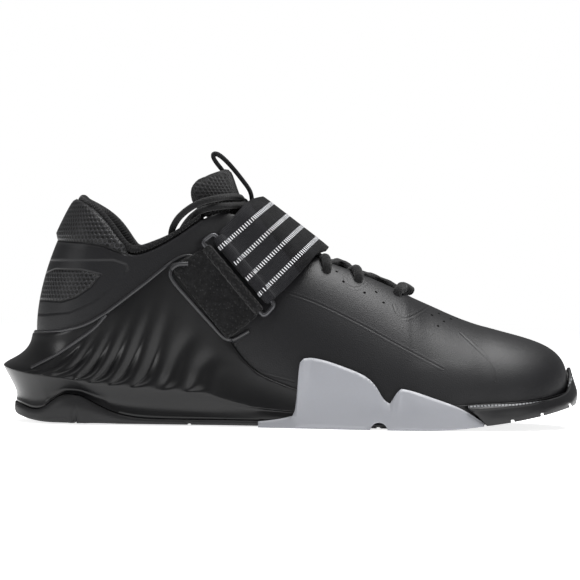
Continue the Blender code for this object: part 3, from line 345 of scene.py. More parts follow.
def leather_finish():
    """Matt leather with pressed seams, and windows of spacer mesh at the heel."""
    f = Finish("matt leather", colours().leather, 0.46, 0.34)
    grain = f.cells(1 / sizes().grain)
    seam = f.nearest("seam", len(SEAMS))
    tab, window = f.attribute("tab"), f.attribute("window")
    mesh = f.ramp(f.math("MINIMUM", tab, window), 0.2, -0.2)
    edge = f.math("MINIMUM", f.math("ABSOLUTE", tab), f.math("ABSOLUTE", window))
    holes = f.holes(sizes().mesh_pitch, f.skin())
    f.roughen(f.noise(18, 2), 0.40, 0.54)
    # Dark seams, mesh with painted shade in its holes and the windows' edges, then the relief of each
    f.tint(f.ramp(seam, 0.5, 0.1, 0.0, 0.5), (0.004, 0.004, 0.004))
    f.tint(mesh, (0.016, 0.016, 0.018))
    # Painted shade in the mesh's holes
    f.tint(f.math("MULTIPLY", mesh, f.ramp(holes, 0.38, 0.29)), (0.0008, 0.0008, 0.0008))
    f.tint(f.ramp(edge, 0.6, 0.1, 0.0, 0.7), (0.003, 0.003, 0.003))
    f.bump(f.ramp(seam, 0.1, 0.5 * sizes().seam_width / MM), 0.11 * MM, 0.8)
    f.bump(f.ramp(seam, 0.9, 1.9, 1.0, 0.0), 0.07 * MM, 0.6)
    f.bump(f.ramp(f.attribute("oval"), -0.9, 0.9), 0.7 * MM, 0.9)
    f.bump(f.ramp(edge, 0.1, 1.2), 0.7 * MM, 0.9)
    f.bump(f.math("MULTIPLY", grain, f.math("SUBTRACT", 1.0, mesh)), 0.16 * MM, 0.6)
    f.bump(f.noise(90, 3), 0.7 * MM, 0.10)
    f.bump(f.math("MULTIPLY", f.ramp(holes, 0.24, 0.42), mesh), 0.7 * MM, 1.0)
    return f.material


def cradle_finish():
    """Glossy moulded plastic with faint flow marks."""
    f = Finish("glossy moulding", colours().cradle, 0.3, 0.30, Coat_Weight=0.10, Coat_Roughness=0.16)
    f.roughen(f.noise(30, 3), 0.26, 0.42)
    f.bump(f.noise(420, 2), 0.04 * MM, 0.3)
    f.bump(f.noise(45, 2), 0.8 * MM, 0.10)
    return f.material


def rubber_finish():
    """Matt rubber with a fine bloom."""
    f = Finish("rubber", colours().rubber, 0.5, 0.4)
    f.roughen(f.noise(60, 3), 0.42, 0.62)
    f.bump(f.noise(900, 2), 0.05 * MM, 0.5)
    return f.material


def bumper_finish():
    """Rubber with a light stitched line along its top and a raised ridge under it."""
    f = Finish("bumper rubber", colours().rubber, 0.4, 0.35)
    seam, along = f.line("stitch")
    pace = f.ramp(f.wave(along, sizes().stitch_pitch / MM), -0.75, -0.45)
    stitch = f.math("MULTIPLY", pace, f.ramp(seam, 0.62, 0.34))
    f.roughen(f.noise(60, 3), 0.34, 0.5)
    f.tint(stitch, colours().stitch)
    f.bump(f.ramp(seam, 0.3, 1.3), 0.35 * MM, 0.8)
    f.bump(stitch, 0.3 * MM, 0.8)
    f.bump(f.ramp(f.line("ridge")[0], 1.4, 0.0), 0.8 * MM, 0.9)
    f.bump(f.noise(900, 2), 0.05 * MM, 0.4)
    return f.material


def sidewall_finish():
    """Grey moulded foam, with painted shade near the ground and a painted highlight on its rounded top edge.
    """
    f = Finish("grey moulding", colours().sidewall, 0.42, 0.45)
    f.tint(f.ramp(f.noise(700, 2, 0.7), 0.45, 0.75, 0.0, 0.35), (0.30, 0.315, 0.36))
    # Painted shade: the grey darkens towards the ground
    height = f.add("SeparateXYZ", [(0, f.coords)]).outputs[2]
    f.tint(f.ramp(height, 22 * MM, 1 * MM, 0.0, 0.55), (0.215, 0.22, 0.238))
    # Painted highlight: lighter grey along the rounded top edge
    f.tint(f.ramp(f.attribute("rim"), 1.3, 0.0, 0.0, 0.5), (0.50, 0.51, 0.54))
    f.roughen(f.noise(200, 2), 0.36, 0.5)
    f.bump(f.ramp(f.attribute("rim"), 0.2, 1.6), 0.35 * MM, 0.7)
    f.bump(f.noise(1200, 2), 0.03 * MM, 0.5)
    return f.material


def knit_finish(name="knit", ribs=1.5 * MM):
    """Fine ribbed knit, with painted shade in the hollows between its ribs."""
    f = Finish(name, colours().knit, 0.9, 0.25, Sheen_Weight=0.12, Sheen_Roughness=0.4)
    skin = f.add("SeparateXYZ", [(0, f.skin())]).outputs
    rib, row = f.wave(skin[0], ribs), f.wave(skin[1], 0.8 * ribs)
    f.bump(f.math("ADD", rib, f.math("MULTIPLY", row, 0.5)), 0.22 * MM, 0.9)
    f.bump(f.noise(1500, 2), 0.1 * MM, 0.5)
    # Painted shade: darker hollows between the ribs
    f.tint(f.ramp(rib, -0.2, -1.0, 0.0, 0.7), (0.003, 0.003, 0.003))
    return f.material


def spacer_finish():
    """Open spacer mesh of the tongue, with painted shade in its holes."""
    f = Finish("spacer mesh", (0.012, 0.012, 0.013), 0.85, 0.3, Sheen_Weight=0.12)
    holes = f.holes(0.7 * sizes().mesh_pitch, f.skin())
    # Painted shade: near-black holes
    f.tint(f.ramp(holes, 0.36, 0.27), (0.0008, 0.0008, 0.0008))
    f.bump(f.ramp(holes, 0.2, 0.42), 0.6 * MM, 1.0)
    f.bump(f.noise(1200, 2), 0.08 * MM, 0.5)
    return f.material


def strap_finish():
    """Woven elastic with fine cross ribs, with painted light that makes it paler where it bends over the
    instep.
    """
    f = Finish("woven elastic", colours().strap, 0.78, 0.15, Sheen_Weight=0.04)
    skin = f.add("SeparateXYZ", [(0, f.skin())]).outputs
    warp, weft = f.wave(skin[0], 0.95 * MM), f.wave(skin[1], 0.8 * MM)
    f.bump(f.math("ADD", warp, f.math("MULTIPLY", weft, 0.8)), 0.10 * MM, 0.8)
    f.tint(f.ramp(f.noise(220, 3), 0.4, 0.8, 0.0, 0.5), (0.015, 0.015, 0.017))
    # Painted light: paler beyond a drawn line, where the strap turns up over the instep
    f.tint(f.ramp(f.attribute("painted_light"), -0.5, 0.8, 0.0, 0.5), (0.020, 0.020, 0.023))
    return f.material


def brushed_finish():
    """Brushed cloth with small loops."""
    f = Finish("brushed cloth", (0.004, 0.004, 0.0044), 0.95, 0.2, Sheen_Weight=0.12, Sheen_Roughness=0.5)
    f.tint(f.ramp(f.noise(160, 4, 0.7), 0.45, 0.7, 0.0, 0.8), (0.010, 0.010, 0.0106))
    loops = f.cells(560, "F1")
    f.tint(f.ramp(loops, 0.32, 0.12, 0.0, 0.85), (0.021, 0.021, 0.022))
    f.bump(loops, 0.7 * MM, 1.0)
    f.bump(f.noise(700, 4, 0.8), 0.4 * MM, 0.9)
    return f.material


def rim_finish():
    """Half glossy moulded edge, a lighter black than the parts it edges as a painted highlight along it."""
    # Painted highlight: lighter than the cradle and tab under these beads
    f = Finish("moulded rim", (0.019, 0.019, 0.021), 0.34)
    f.roughen(f.noise(60, 2), 0.28, 0.42)
    f.bump(f.noise(700, 2), 0.04 * MM, 0.4)
    return f.material


def lace_finish():
    """Round braided lace."""
    f = Finish("braided lace", colours().lace, 0.85, 0.25, Sheen_Weight=0.15)
    braid = f.cells(950, "F1", 0.6)
    f.bump(braid, 0.35 * MM, 0.9)
    f.tint(f.ramp(braid, 0.35, 0.7, 0.0, 0.8), (0.003, 0.003, 0.003))
    return f.material


def metal_finish():
    """Dark painted wire."""
    f = Finish("painted wire", (0.075, 0.075, 0.080), 0.30, Metallic=0.9)
    f.roughen(f.noise(300, 3), 0.26, 0.45)
    return f.material


def spine(x):
    """Sideways place of the shoe's middle line at a length."""
    share = np.clip((x - SPINE_START_X) / (SPINE_END_X - SPINE_START_X), 0, 1)
    return SPINE_Y + SPINE_SWING * share * share * (3 - 2 * share)


def to_picture(places):
    """Pixels of the side view where places are seen; the medial side is seen as if mirrored."""
    places = np.asarray(places, float)
    off = places[:, 1] - spine(places[:, 0])
    depth = -EYE.y - np.abs(off)
    u = (places[:, 0] - EYE.x) * -EYE.y / depth / PIXEL
    v = (places[:, 2] - EYE.z) * -EYE.y / depth / PIXEL
    return np.stack([PICTURE_MIDDLE + u * math.cos(TURN) + v * math.sin(TURN),
                     PICTURE_MIDDLE + u * math.sin(TURN) - v * math.cos(TURN)], axis=1)


def smooth_line(points, count):
    """Points on a smooth curve through the given ones."""
    points = [Vector(p) for p in points]
    knots = [points[0] * 2 - points[1]] + points + [points[-1] * 2 - points[-2]]
    route = []
    for i in range(count + 1):
        place = i * (len(points) - 1) / count
        k = min(int(place), len(points) - 2)
        u = place - k
        a, b, c, d = knots[k:k + 4]
        route.append(0.5 * (2 * b + (c - a) * u + (2 * a - 5 * b + 4 * c - d) * u * u
                            + (3 * b - a - 3 * c + d) * u ** 3))
    return route


def drawn_line(pixels, line):
    """Signed distance from a drawn line, how far past its ends and how far along it, in millimetres."""
    corners = np.array([tuple(p)[:2] for p in line], float)
    best, sign, past, along = np.full((4, len(pixels)), np.inf)
    gone = 0.0
    for k, (a, b) in enumerate(zip(corners, corners[1:])):
        d = b - a
        length = math.hypot(*d)
        raw = ((pixels - a) @ d) / (d @ d)
        t = np.clip(raw, 0, 1)
        far = np.linalg.norm(pixels - a - t[:, None] * d, axis=1)
        nearer = far < best
        cross = d[0] * (pixels[:, 1] - a[1]) - d[1] * (pixels[:, 0] - a[0])
        over = np.zeros(len(pixels))
        if k == 0:
            over = np.maximum(over, -raw * length)
        if k == len(corners) - 2:
            over = np.maximum(over, (raw - 1) * length)
        best = np.where(nearer, far, best)
        sign = np.where(nearer, np.where(cross < 0, -1.0, 1.0), sign)
        past = np.where(nearer, over, past)
        along = np.where(nearer, gone + t * length, along)
        gone += length
    return np.stack([np.clip(best * sign, -FAR, FAR), np.minimum(past, FAR), along], axis=1) * PIXEL / MM


def write_line(mesh, name, pixels, line):
    """Stores a drawn line's distances for each vertex, smoothed between its points."""
    write_rows(mesh, name, drawn_line(pixels, smooth_line([(*p, 0) for p in line], LINE_STEPS)))


def outline_distance(pixels, outline):
    """Distance in millimetres from a closed outline, less than 0 inside it."""
    corners = np.array(outline, float)
    best = np.full(len(pixels), FAR)
    inside = np.zeros(len(pixels), bool)
    x, y = pixels.T
    for a, b in zip(corners, np.roll(corners, -1, axis=0)):
        d = b - a
        t = np.clip(((pixels - a) @ d) / (d @ d), 0, 1)
        best = np.minimum(best, np.linalg.norm(pixels - a - t[:, None] * d, axis=1))
        if d[1]:
            crossing = (a[1] > y) != (b[1] > y)
            inside ^= crossing & (x < d[0] * (y - a[1]) / d[1] + a[0])
    return np.where(inside, -best, best) * PIXEL / MM


def read_rows(items, key):
    rows = np.zeros(len(items) * 3)
    items.foreach_get(key, rows)
    return rows.reshape(-1, 3)


def vertex_places(mesh):
    return read_rows(mesh.vertices, "co")


def vertex_normals(mesh):
    return read_rows(mesh.vertex_normals, "vector")


def rise(values, start, span):
    """Smooth step from 0 at the start to 1 after the span."""
    share = np.clip((values - start) / span, 0, 1)
    return share * share * (3 - 2 * share)


def swell(mesh, amounts):
    """Moves each vertex along its normal."""
    places = vertex_places(mesh) + vertex_normals(mesh) * np.asarray(amounts)[:, None]
    mesh.vertices.foreach_set("co", places.ravel())
    mesh.update()


def write_rows(mesh, name, rows):
    """Stores a number or a vector for each vertex."""
    rows = np.asarray(rows, np.float32)
    kind, key = ("FLOAT", "value") if rows.ndim == 1 else ("FLOAT_VECTOR", "vector")
    mesh.attributes.new(name, kind, "POINT").data.foreach_set(key, rows.ravel())


def flat(across, up):
    """Two rows of distances as places on a flat skin."""
    return np.stack([across, up, np.zeros(len(up))], axis=1)


def write_skin(mesh, flow=None):
    """Stores a flat place on the surface for each vertex: distance round the shoe, then height."""
    places = vertex_places(mesh)
    if flow is None:
        x, y, z = places.T
        off = y - spine(x)
        turn = np.arctan2(np.abs(off), np.maximum(HEEL_PIVOT_X - x, 0.0))
        along = np.where(x < HEEL_PIVOT_X, HEEL_ARC * turn / (math.pi / 2), HEEL_ARC + x - HEEL_PIVOT_X)
        write_rows(mesh, "skin", flat(np.where(off < 0, -along, along), z))
    else:
        write_rows(mesh, "skin", flow(places))


def finished_mesh(obj):
    """Mesh of an object with its modifiers, or its curve's round, in it."""
    graph = bpy.context.evaluated_depsgraph_get()
    graph.update()
    return bpy.data.meshes.new_from_object(obj.evaluated_get(graph))


def opened(mesh):
    """Bmesh of a mesh."""
    bm = bmesh.new()
    bm.from_mesh(mesh)
    return bm


def placed(name, data):
    """New object in the scene."""
    obj = bpy.data.objects.new(name, data)
    bpy.context.scene.collection.objects.link(obj)
    return obj


def new_piece(name, bm, material, smooth_angle=40):
    """Visible piece made from a bmesh, on the root body."""
    mesh = bpy.data.meshes.new(name)
    bm.to_mesh(mesh)
    bm.free()
    mesh.materials.append(material)
    mesh.shade_smooth()
    mesh.set_sharp_from_angle(angle=math.radians(smooth_angle))
    obj = placed(name, mesh)
    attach(obj, "root")
    return obj


def copy_node(name, node, material, levels=None, crease_angle=48, crease=0.75, fullness=0.0):
    """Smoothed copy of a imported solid: its triangles joined to quads and subdivided, its edges held."""
    bm = opened(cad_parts[node].data)
    bmesh.ops.remove_doubles(bm, verts=bm.verts, dist=MERGE)
    bmesh.ops.join_triangles(bm, faces=bm.faces, angle_face_threshold=JOIN_FACES,
                             angle_shape_threshold=JOIN_SHAPES)
    bm.normal_update()
    if fullness:
        for vertex, normal in [(v, v.normal.copy()) for v in bm.verts]:
            vertex.co += normal * fullness
    held = bm.edges.layers.float.new("crease_edge")
    for edge in bm.edges:
        if len(edge.link_faces) == 2 and edge.calc_face_angle() > math.radians(crease_angle):
            edge[held] = crease
    piece = new_piece(name, bm, material, 60)
    surface = piece.modifiers.new("smooth", "SUBSURF")
    surface.levels = surface.render_levels = sizes().smoothness if levels is None else levels
    mesh = finished_mesh(piece)
    piece.modifiers.clear()
    piece.data = mesh
    mesh.shade_smooth()
    mesh.set_sharp_from_angle(angle=SHARP)
    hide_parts(node)
    return piece


def finder(obj):
    """Search tree of an object's surface."""
    bm = opened(obj.data)
    tree = BVHTree.FromBMesh(bm)
    bm.free()
    return tree


def from_picture(tree, pixel, side=-1):
    """Place and normal on a surface where the side view shows a pixel, or None."""
    right, up = pixel[0] - PICTURE_MIDDLE, PICTURE_MIDDLE - pixel[1]
    u = right * math.cos(TURN) - up * math.sin(TURN)
    v = right * math.sin(TURN) + up * math.cos(TURN)
    eye = Vector((EYE.x, side * -EYE.y, EYE.z))
    aim = Vector((EYE.x + u * PIXEL, 0.0, EYE.z + v * PIXEL))
    place, normal, _, _ = tree.ray_cast(eye, (aim - eye).normalized())
    return (place, normal) if place is not None else None


def cord_curve(name, route, radius):
    """Round curve along a route."""
    curve = bpy.data.curves.new(name, "CURVE")
    curve.dimensions = "3D"
    curve.bevel_depth = radius
    curve.bevel_resolution = 4
    curve.use_fill_caps = True
    spline = curve.splines.new("POLY")
    spline.points.add(len(route) - 1)
    for knot, place in zip(spline.points, route):
        knot.co = (*place, 1.0)
    return placed(name, curve)


def add_tube(name, route, radius, material):
    """Round bead along a route, as a closed mesh."""
    curve = cord_curve(name, route, radius)
    mesh = finished_mesh(curve)
    bpy.data.objects.remove(curve)
    bm = opened(mesh)
    bpy.data.meshes.remove(mesh)
    bmesh.ops.remove_doubles(bm, verts=bm.verts, dist=0.1 * MERGE)
    bmesh.ops.recalc_face_normals(bm, faces=bm.faces)
    new_piece(name, bm, material)


def surface_route(trees, line, side=-1, proud=0.1 * MM):
    """Route along a drawn line on the outermost of some surfaces."""
    route = []
    for pixel in smooth_line(line, ROUTE_STEPS):
        found = [hit for hit in (from_picture(tree, pixel, side) for tree in trees) if hit]
        if found:
            place, normal = min(found, key=lambda hit: -side * hit[0].y)
            route.append(place + normal * proud)
    for _ in range(ROUTE_PASSES):
        middle = [(a + b * 2 + c) / 4 for a, b, c in zip(route, route[1:], route[2:])]
        for old, new in zip(route[1:], middle):
            new.y = side * max(side * old.y, side * new.y)
        route = [route[0]] + middle + [route[-1]]
    return route


class SHOE_OT_upper(bpy.types.Operator):
    """Leather upper with its pressed seams, heel windows and perforations."""
    bl_idname = "shoe.upper"
    bl_label = "Upper"

    def execute(self, context):
        upper = copy_node("leather_upper", "upper", leather_finish(), crease=0.2)
        self.relax_vamp(upper)
        pixels = to_picture(vertex_places(upper.data))
        for i, line in enumerate(SEAMS):
            write_line(upper.data, f"seam{i}", pixels, line)
        tab = outline_distance(pixels, HEEL_TAB)
        write_rows(upper.data, "tab", tab)
        places, normals = vertex_places(upper.data), vertex_normals(upper.data)
        outward = (places[:, 0] - HEEL_PIVOT_X) * normals[:, 0] + (places[:, 1] - SPINE_Y) * normals[:, 1]
        swell(upper.data, sizes().tab_padding * rise(-tab, 0.0, TAB_FADE) * (outward > 0))
        write_rows(upper.data, "window", outline_distance(pixels, COUNTER_WINDOW))
        write_rows(upper.data, "oval", outline_distance(pixels, COUNTER_OVAL))
        write_skin(upper.data)
        self.line_inside(upper)
        self.perforate(upper)
        return {"FINISHED"}

    def relax_vamp(self, upper):
        """Eases the fold that the solid's facets leave in front of the lacing."""
        bm = opened(upper.data)
        vamp = [v for v in bm.verts if VAMP_FROM < v.co.x < VAMP_TO and v.co.z > VAMP_ABOVE]
        for _ in range(VAMP_PASSES):
            bmesh.ops.smooth_vert(bm, verts=vamp, factor=0.5, use_axis_x=True, use_axis_y=True,
                                  use_axis_z=True)
        bm.to_mesh(upper.data)
        bm.free()

    def line_inside(self, upper):
        """Gives the faces that look at another wall of the upper the lining's material."""
        lining = Finish("lining cloth", colours().lining, 0.9, 0.2, Sheen_Weight=0.2)
        lining.bump(lining.noise(900, 3), 0.15 * MM, 0.6)
        upper.data.materials.append(lining.material)
        tree = finder(upper)
        start, reach = 0.5 * MM, 130 * MM
        for face in upper.data.polygons:
            place, _, _, _ = tree.ray_cast(face.center + face.normal * start, face.normal, reach)
            if place is not None:
                face.material_index = 1

    def perforate(self, upper):
        """Dark discs let into the leather on both sides, the holes painted near black as the shade inside
        them.
        """
        proud, depth = 0.06 * MM, 0.5 * MM
        tree = finder(upper)
        # Painted shade: near-black colour for the inside of each hole
        hole = Finish("perforation", (0.001, 0.001, 0.001), 0.9, 0.1)
        hole.bump(hole.noise(800, 2), 0.1 * MM, 0.4)
        bm = bmesh.new()
        for side in (-1, 1):
            for pixel in PERFORATIONS:
                found = from_picture(tree, pixel, side)
                if found:
                    place, normal = found
                    turn = normal.to_track_quat("Z", "Y").to_matrix().to_4x4()
                    turn.translation = place + normal * proud
                    bmesh.ops.create_circle(bm, cap_ends=True, segments=12, radius=sizes().perforation,
                                            matrix=turn)
        made = bmesh.ops.extrude_face_region(bm, geom=bm.faces[:])
        for vertex in [g for g in made["geom"] if isinstance(g, bmesh.types.BMVert)]:
            vertex.co -= tree.find_nearest(vertex.co)[1] * depth
        bmesh.ops.recalc_face_normals(bm, faces=bm.faces)
        new_piece("perforations", bm, hole.material)


class SHOE_OT_sole(bpy.types.Operator):
    """Heel cradle, outsole, toe bumper, insole and the grey forefoot sidewalls."""
    bl_idname = "shoe.sole"
    bl_label = "Sole"

    def execute(self, context):
        cradle = copy_node("heel_cradle", "midsole", cradle_finish(), crease_angle=62, crease=0.92)
        trees = [finder(cradle), finder(bpy.data.objects["leather_upper"])]
        bead = rim_finish()
        for side, name in SIDES:
            for line, what in ((CRADLE_EDGE, "edge_bead_"), (CRADLE_RIDGE, "ridge_bead_")):
                route = surface_route(trees, line, side)
                add_tube(what + name, route, sizes().cradle_bead, bead)
        copy_node("rubber_outsole", "outsole", rubber_finish(), levels=1, crease=0.95)
        bumper = copy_node("rubber_toe_bumper", "toe_bumper", bumper_finish(), crease=0.8)
        pixels = to_picture(vertex_places(bumper.data))
        write_line(bumper.data, "stitch", pixels, BUMPER_STITCH)
        write_line(bumper.data, "ridge", pixels, BUMPER_RIDGE)
        lining = copy_node("sock_insole", "insole", knit_finish("insole cloth", 1.2 * MM), levels=1)
        write_skin(lining.data, lambda places: places)
        grey = sidewall_finish()
        for _, name in SIDES:
            self.mark_rim(copy_node("grey_sidewall_" + name, "sidewall_" + name, grey,
                                    crease_angle=30, crease=0.9))
        return {"FINISHED"}

    def mark_rim(self, wall):
        """Distance of each vertex below the wall's wavy top edge."""
        behind, width = -50 * MM, 1.5 * MM
        places = vertex_places(wall.data)
        bins = np.round((places[:, 0] - behind) / width).astype(int)
        top = np.full(bins.max() + 1, -1.0)
        np.maximum.at(top, bins, places[:, 2])
        write_rows(wall.data, "rim", (top[bins] - places[:, 2]) / MM)


class SHOE_OT_collar(bpy.types.Operator):
    """Padded knit collar and the mesh tongue."""
    bl_idname = "shoe.collar"
    bl_label = "Collar and tongue"

    def execute(self, context):
        collar = copy_node("knit_collar", "collar", knit_finish(), crease_angle=80, crease=0.3)
        write_skin(collar.data)
        places, normals = vertex_places(collar.data), vertex_normals(collar.data)
        x, y, z = places.T
        facing = np.clip(normals @ ROLL_FACES, 0, 1)
        heel = rise(-x, HEEL_PAD_BEHIND, HEEL_PAD_FADE)
        heel *= np.sin(math.pi * np.clip((z - HEEL_PAD_ABOVE) / HEEL_PAD_HEIGHT, 0, 1))
        pad = COLLAR_PAD + heel * np.where(y > spine(x), HEEL_PAD_MEDIAL, HEEL_PAD_LATERAL)
        swell(collar.data, pad * facing * MM)
        tongue = copy_node("mesh_tongue", "tongue", spacer_finish(), crease_angle=70, crease=0.4)
        normals = np.abs(vertex_normals(tongue.data))
        write_skin(tongue.data, lambda places: self.flow(places, normals[:, 1] > 0.55))
        heights = vertex_places(tongue.data)[:, 2]
        swell(tongue.data, sizes().tongue_padding * rise(heights, 108 * MM, 12 * MM))
        return {"FINISHED"}

    def flow(self, places, sideways):
        """Flat places on the tongue: its sides seen from the side, the rest from the front."""
        x, y, z = places.T
        return flat(np.where(sideways, x, y), np.where(sideways, z, 1.25 * z))


class SHOE_OT_strap(bpy.types.Operator):
    """Instep strap with its stripes, the wire ring and the anchor tab."""
    bl_idname = "shoe.strap"
    bl_label = "Strap"

    def execute(self, context):
        strap = copy_node("elastic_strap", "strap", strap_finish(), levels=1, crease_angle=35,
                          crease=0.9, fullness=sizes().strap_swell)
        write_skin(strap.data, self.flow)
        pixels = to_picture(vertex_places(strap.data))
        # Distance from the line of the strap's painted light
        write_rows(strap.data, "painted_light", drawn_line(pixels, STRAP_LIGHT_LINE)[:, 0])
        self.add_stripes(strap)
        tab = copy_node("brushed_tab", "anchor_tab", brushed_finish(), levels=1,
                        crease_angle=35, crease=0.8)
        self.add_rim(tab)
        copy_node("wire_ring", "strap_ring", metal_finish(), crease_angle=80)
        return {"FINISHED"}

    def flow(self, places):
        """Places along the strap's width and round the instep."""
        x, y, z = places.T
        across = x * STRAP_COS - z * STRAP_SIN
        up = x * STRAP_SIN + z * STRAP_COS
        around = STRAP_RADIUS * np.arctan2(y - spine(x), up - STRAP_MIDDLE)
        return flat(across, around)

    def add_stripes(self, strap):
        """Strokes that lie across four lines over the strap."""
        tree = finder(strap)
        thread = Finish("stripe thread", colours().stripe, 0.5, Sheen_Weight=0.2)
        thread.bump(thread.noise(1500, 2), 0.05 * MM, 0.4)
        length, width, height = sizes().stripe_stroke, sizes().stripe_thread, sizes().stripe_height
        proud = 0.05 * MM
        bm = bmesh.new()
        for low, high in STRIPES:
            for place, normal, ahead in self.stripe_route(tree, low, high):
                aside = normal.cross(ahead).normalized()
                made = bmesh.ops.create_cube(bm, size=1.0)
                for vertex in made["verts"]:
                    along, over, up = vertex.co
                    vertex.co = (place + ahead * along * width + aside * over * length
                                 + normal * (up * height + proud))
        new_piece("strap_stripes", bm, thread.material)

    def stripe_route(self, tree, low, high):
        """Evenly spaced places on the strap, found by rays towards a point under its crown."""
        ends = []
        for pixel in (low, high):
            u, v = (pixel[0] - PICTURE_MIDDLE) * PIXEL, (PICTURE_MIDDLE - pixel[1]) * PIXEL
            ends.append(Vector((EYE.x + u, 0.0, EYE.z + v + math.sin(TURN) * u)))
        upwards = (ends[1] - ends[0]).normalized()
        heart = ends[1] - upwards * STRIPE_HEART
        heart.y = float(spine(heart.x))
        hits = []
        for i in range(STRIPE_RAYS + 1):
            angle = math.radians(STRIPE_SWING * (2 * i / STRIPE_RAYS - 1))
            ray = upwards * math.cos(angle) + Vector((0, 1, 0)) * math.sin(angle)
            place, normal, _, _ = tree.ray_cast(heart + ray * STRIPE_START, -ray)
            if place is not None and (place - heart).length > STRIPE_NEAREST:
                hits.append((place, normal))
        route = []
        gone = 0.0
        for (a, normal), (b, _) in zip(hits, hits[1:]):
            step = (b - a).length
            if step > STRIPE_STEP:
                continue
            while gone < step:
                route.append((a.lerp(b, gone / step), normal, (b - a).normalized()))
                gone += sizes().stripe_pitch
            gone -= step
        return route

    def add_rim(self, tab):
        """Raised moulded edge round the tab's lower end."""
        trees = [finder(tab)] + [finder(bpy.data.objects[name]) for name in ("leather_upper", "heel_cradle")]
        route = surface_route(trees, TAB_RIM, proud=0.5 * MM)
        add_tube("tab_rim", route, sizes().tab_rim, rim_finish())


class SHOE_OT_laces(bpy.types.Operator):
    """Crossed lace, its knot, loops and ends, and the tongue's pull loop."""
    bl_idname = "shoe.laces"
    bl_label = "Laces"

    def execute(self, context):
        lace = lace_finish()
        for name, node in (("crossed_lace", "lace_bars"), ("bow_knot", "lace_knot")):
            piece = copy_node(name, node, lace, crease_angle=120, fullness=sizes().lace_swell)
            if node == "lace_bars":
                places = vertex_places(piece.data)
                off = np.abs(places[:, 1] - spine(places[:, 0]))
                places[:, 2] -= (LACE_DROP + LACE_SIDE_DROP * rise(off, 5 * MM, 6 * MM)) * MM
                piece.data.vertices.foreach_set("co", places.ravel())
        self.add_humps(lace)
        radius = sizes().lace_diameter / 2
        for name, points, count, end in (("lace_loop_lateral", LOOP_LATERAL, 60, "object"),
                                         ("lace_loop_medial", LOOP_MEDIAL, 54, "object"),
                                         ("lace_end_lateral", END_LATERAL, 36, "bare"),
                                         ("lace_end_medial", END_MEDIAL, 36, "bare")):
            route = [(p + CORD_SHIFT) * MM for p in smooth_line(points, count)]
            cord = cord_curve(name.replace("lace", "bow"), route, radius)
            cord.data.materials.append(lace)
            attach(cord, "root")
            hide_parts(name)
        webbing = knit_finish("pull webbing", 1.0 * MM)
        loop = copy_node("pull_webbing", "pull_loop", webbing, levels=1, crease_angle=50,
                         crease=0.9, fullness=sizes().loop_swell)
        write_skin(loop.data, lambda places: places[:, (1, 2, 0)])
        return {"FINISHED"}

    def add_humps(self, lace):
        """Thick pieces of lace over the throat's edge and down into the eyelets."""
        leather = finder(bpy.data.objects["leather_upper"])
        for row, (x_mm, lag) in enumerate(LACE_ROWS_MM):
            for side, name in SIDES:
                route = self.hump(leather, x_mm * MM, lag * MM, side)
                if route:
                    add_tube(f"lace_hump_{row}_{name}", route, sizes().lace_hump, lace)

    def hump(self, leather, x, lag, side):
        """Route of one hump, or None where the throat has no edge."""
        down = Vector((0, 0, -1))

        def drop(off, back=0.0):
            """Place and normal of the leather this far beside the middle line, or None."""
            at = x - back
            place, normal, _, _ = leather.ray_cast(Vector((at, spine(at) + side * off, FEEL_FROM)), down)
            if place is not None and place.z > THROAT_LOWEST and normal.z > THROAT_SLOPE:
                return place, normal

        edge = next((i * HUMP_STEP for i in HUMP_TRIES if drop(i * HUMP_STEP)), None)
        if edge is None:
            return None
        route = []
        top = drop(edge + 2 * HUMP_STEP)[0].z
        for off, proud, share in HUMP_OVER_THROAT:
            at = x - lag * share
            route.append(Vector((at, spine(at) + side * (edge + off * MM), top + proud * MM)))
        for off, proud, share in HUMP_ON_LEATHER:
            found = drop(edge + off * MM, lag * share)
            if found:
                route.append(found[0] + found[1] * proud * MM)
        return smooth_line(route, HUMP_POINTS)


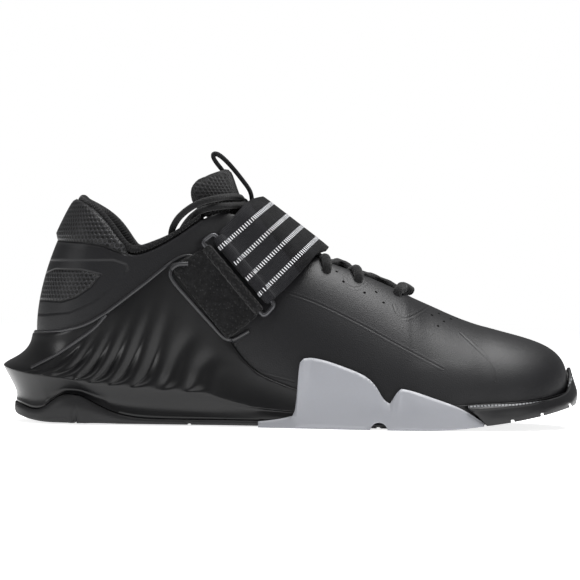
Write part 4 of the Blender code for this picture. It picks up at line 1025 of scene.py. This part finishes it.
class SHOE_OT_stage(bpy.types.Operator):
    """Floor, soft lights and the camera of the side view."""
    bl_idname = "shoe.stage"
    bl_label = "Stage"

    def execute(self, context):
        scene = context.scene
        f = Finish("studio floor", colours().floor, 0.8, Emission_Color=(1, 1, 1, 1),
                   Emission_Strength=FLOOR_GLOW)
        f.bump(f.noise(4, 2), 1 * MM, 0.02)
        bm = bmesh.new()
        bmesh.ops.create_grid(bm, x_segments=2, y_segments=2, size=FLOOR_REACH)
        mesh = bpy.data.meshes.new("floor")
        bm.to_mesh(mesh)
        bm.free()
        mesh.transform(Matrix.Translation((0, 0, -FLOOR_BELOW)))
        mesh.materials.append(f.material)
        floor = placed("floor", mesh)
        for name, place, aim, size, power in LIGHTS:
            light = bpy.data.lights.new(name, "AREA")
            light.size = size
            light.energy = power
            lamp = placed(name, light)
            lamp.location = place
            lamp.rotation_euler = (Vector(aim) - Vector(place)).to_track_quat("-Z", "Y").to_euler()
        scene.world = self.sky()
        scene.view_settings.view_transform = "Standard"
        camera = bpy.data.cameras.new("side_view")
        camera.sensor_width = SENSOR
        camera.lens = SENSOR * -EYE.y / (2 * PICTURE_MIDDLE * PIXEL)
        camera.clip_start = 0.05
        eye = placed("side_view", camera)
        eye.location = EYE
        eye.rotation_euler = (math.pi / 2, -TURN, 0.0)
        scene.camera = eye
        return {"FINISHED"}

    def sky(self):
        """Soft light from all round, in front of a brighter plain backdrop."""
        world = bpy.data.worlds.new("studio")
        world.use_nodes = True
        nodes, links = world.node_tree.nodes, world.node_tree.links
        light = nodes["Background"]
        light.inputs["Color"].default_value = (1, 1, 1, 1)
        light.inputs["Strength"].default_value = SKY_STRENGTH
        backdrop = nodes.new("ShaderNodeBackground")
        backdrop.inputs["Color"].default_value = (1, 1, 1, 1)
        seen = nodes.new("ShaderNodeLightPath").outputs["Is Camera Ray"]
        both = nodes.new("ShaderNodeMixShader")
        for socket, value in ((0, seen), (1, light.outputs[0]), (2, backdrop.outputs[0])):
            links.new(value, both.inputs[socket])
        links.new(both.outputs[0], nodes["World Output"].inputs["Surface"])
        return world


class SHOE_PT_panel(bpy.types.Panel):
    """Sizes, colours and build steps of the shoe."""
    bl_idname = "SHOE_PT_panel"
    bl_label = "Weightlifting shoe"
    bl_space_type = "VIEW_3D"
    bl_region_type = "UI"
    bl_category = "Shoe"

    def draw(self, context):
        for group in (context.scene.shoe_sizes, context.scene.shoe_colours):
            for name in group.bl_rna.properties.keys():
                if name not in ("rna_type", "name"):
                    self.layout.prop(group, name)
        for step in STEPS:
            self.layout.operator(step.bl_idname)


STEPS = (SHOE_OT_upper, SHOE_OT_sole, SHOE_OT_collar, SHOE_OT_strap, SHOE_OT_laces, SHOE_OT_stage)
CLASSES = (ShoeSizes, ShoeColours) + STEPS + (SHOE_PT_panel,)


def register():
    for cls in CLASSES:
        bpy.utils.register_class(cls)
    bpy.types.Scene.shoe_sizes = PointerProperty(type=ShoeSizes)
    bpy.types.Scene.shoe_colours = PointerProperty(type=ShoeColours)


def unregister():
    del bpy.types.Scene.shoe_sizes
    del bpy.types.Scene.shoe_colours
    for cls in reversed(CLASSES):
        bpy.utils.unregister_class(cls)


def main():
    register()
    for step in STEPS:
        group, name = step.bl_idname.split(".")
        getattr(getattr(bpy.ops, group), name)()


if __name__ == "__main__":
    main()
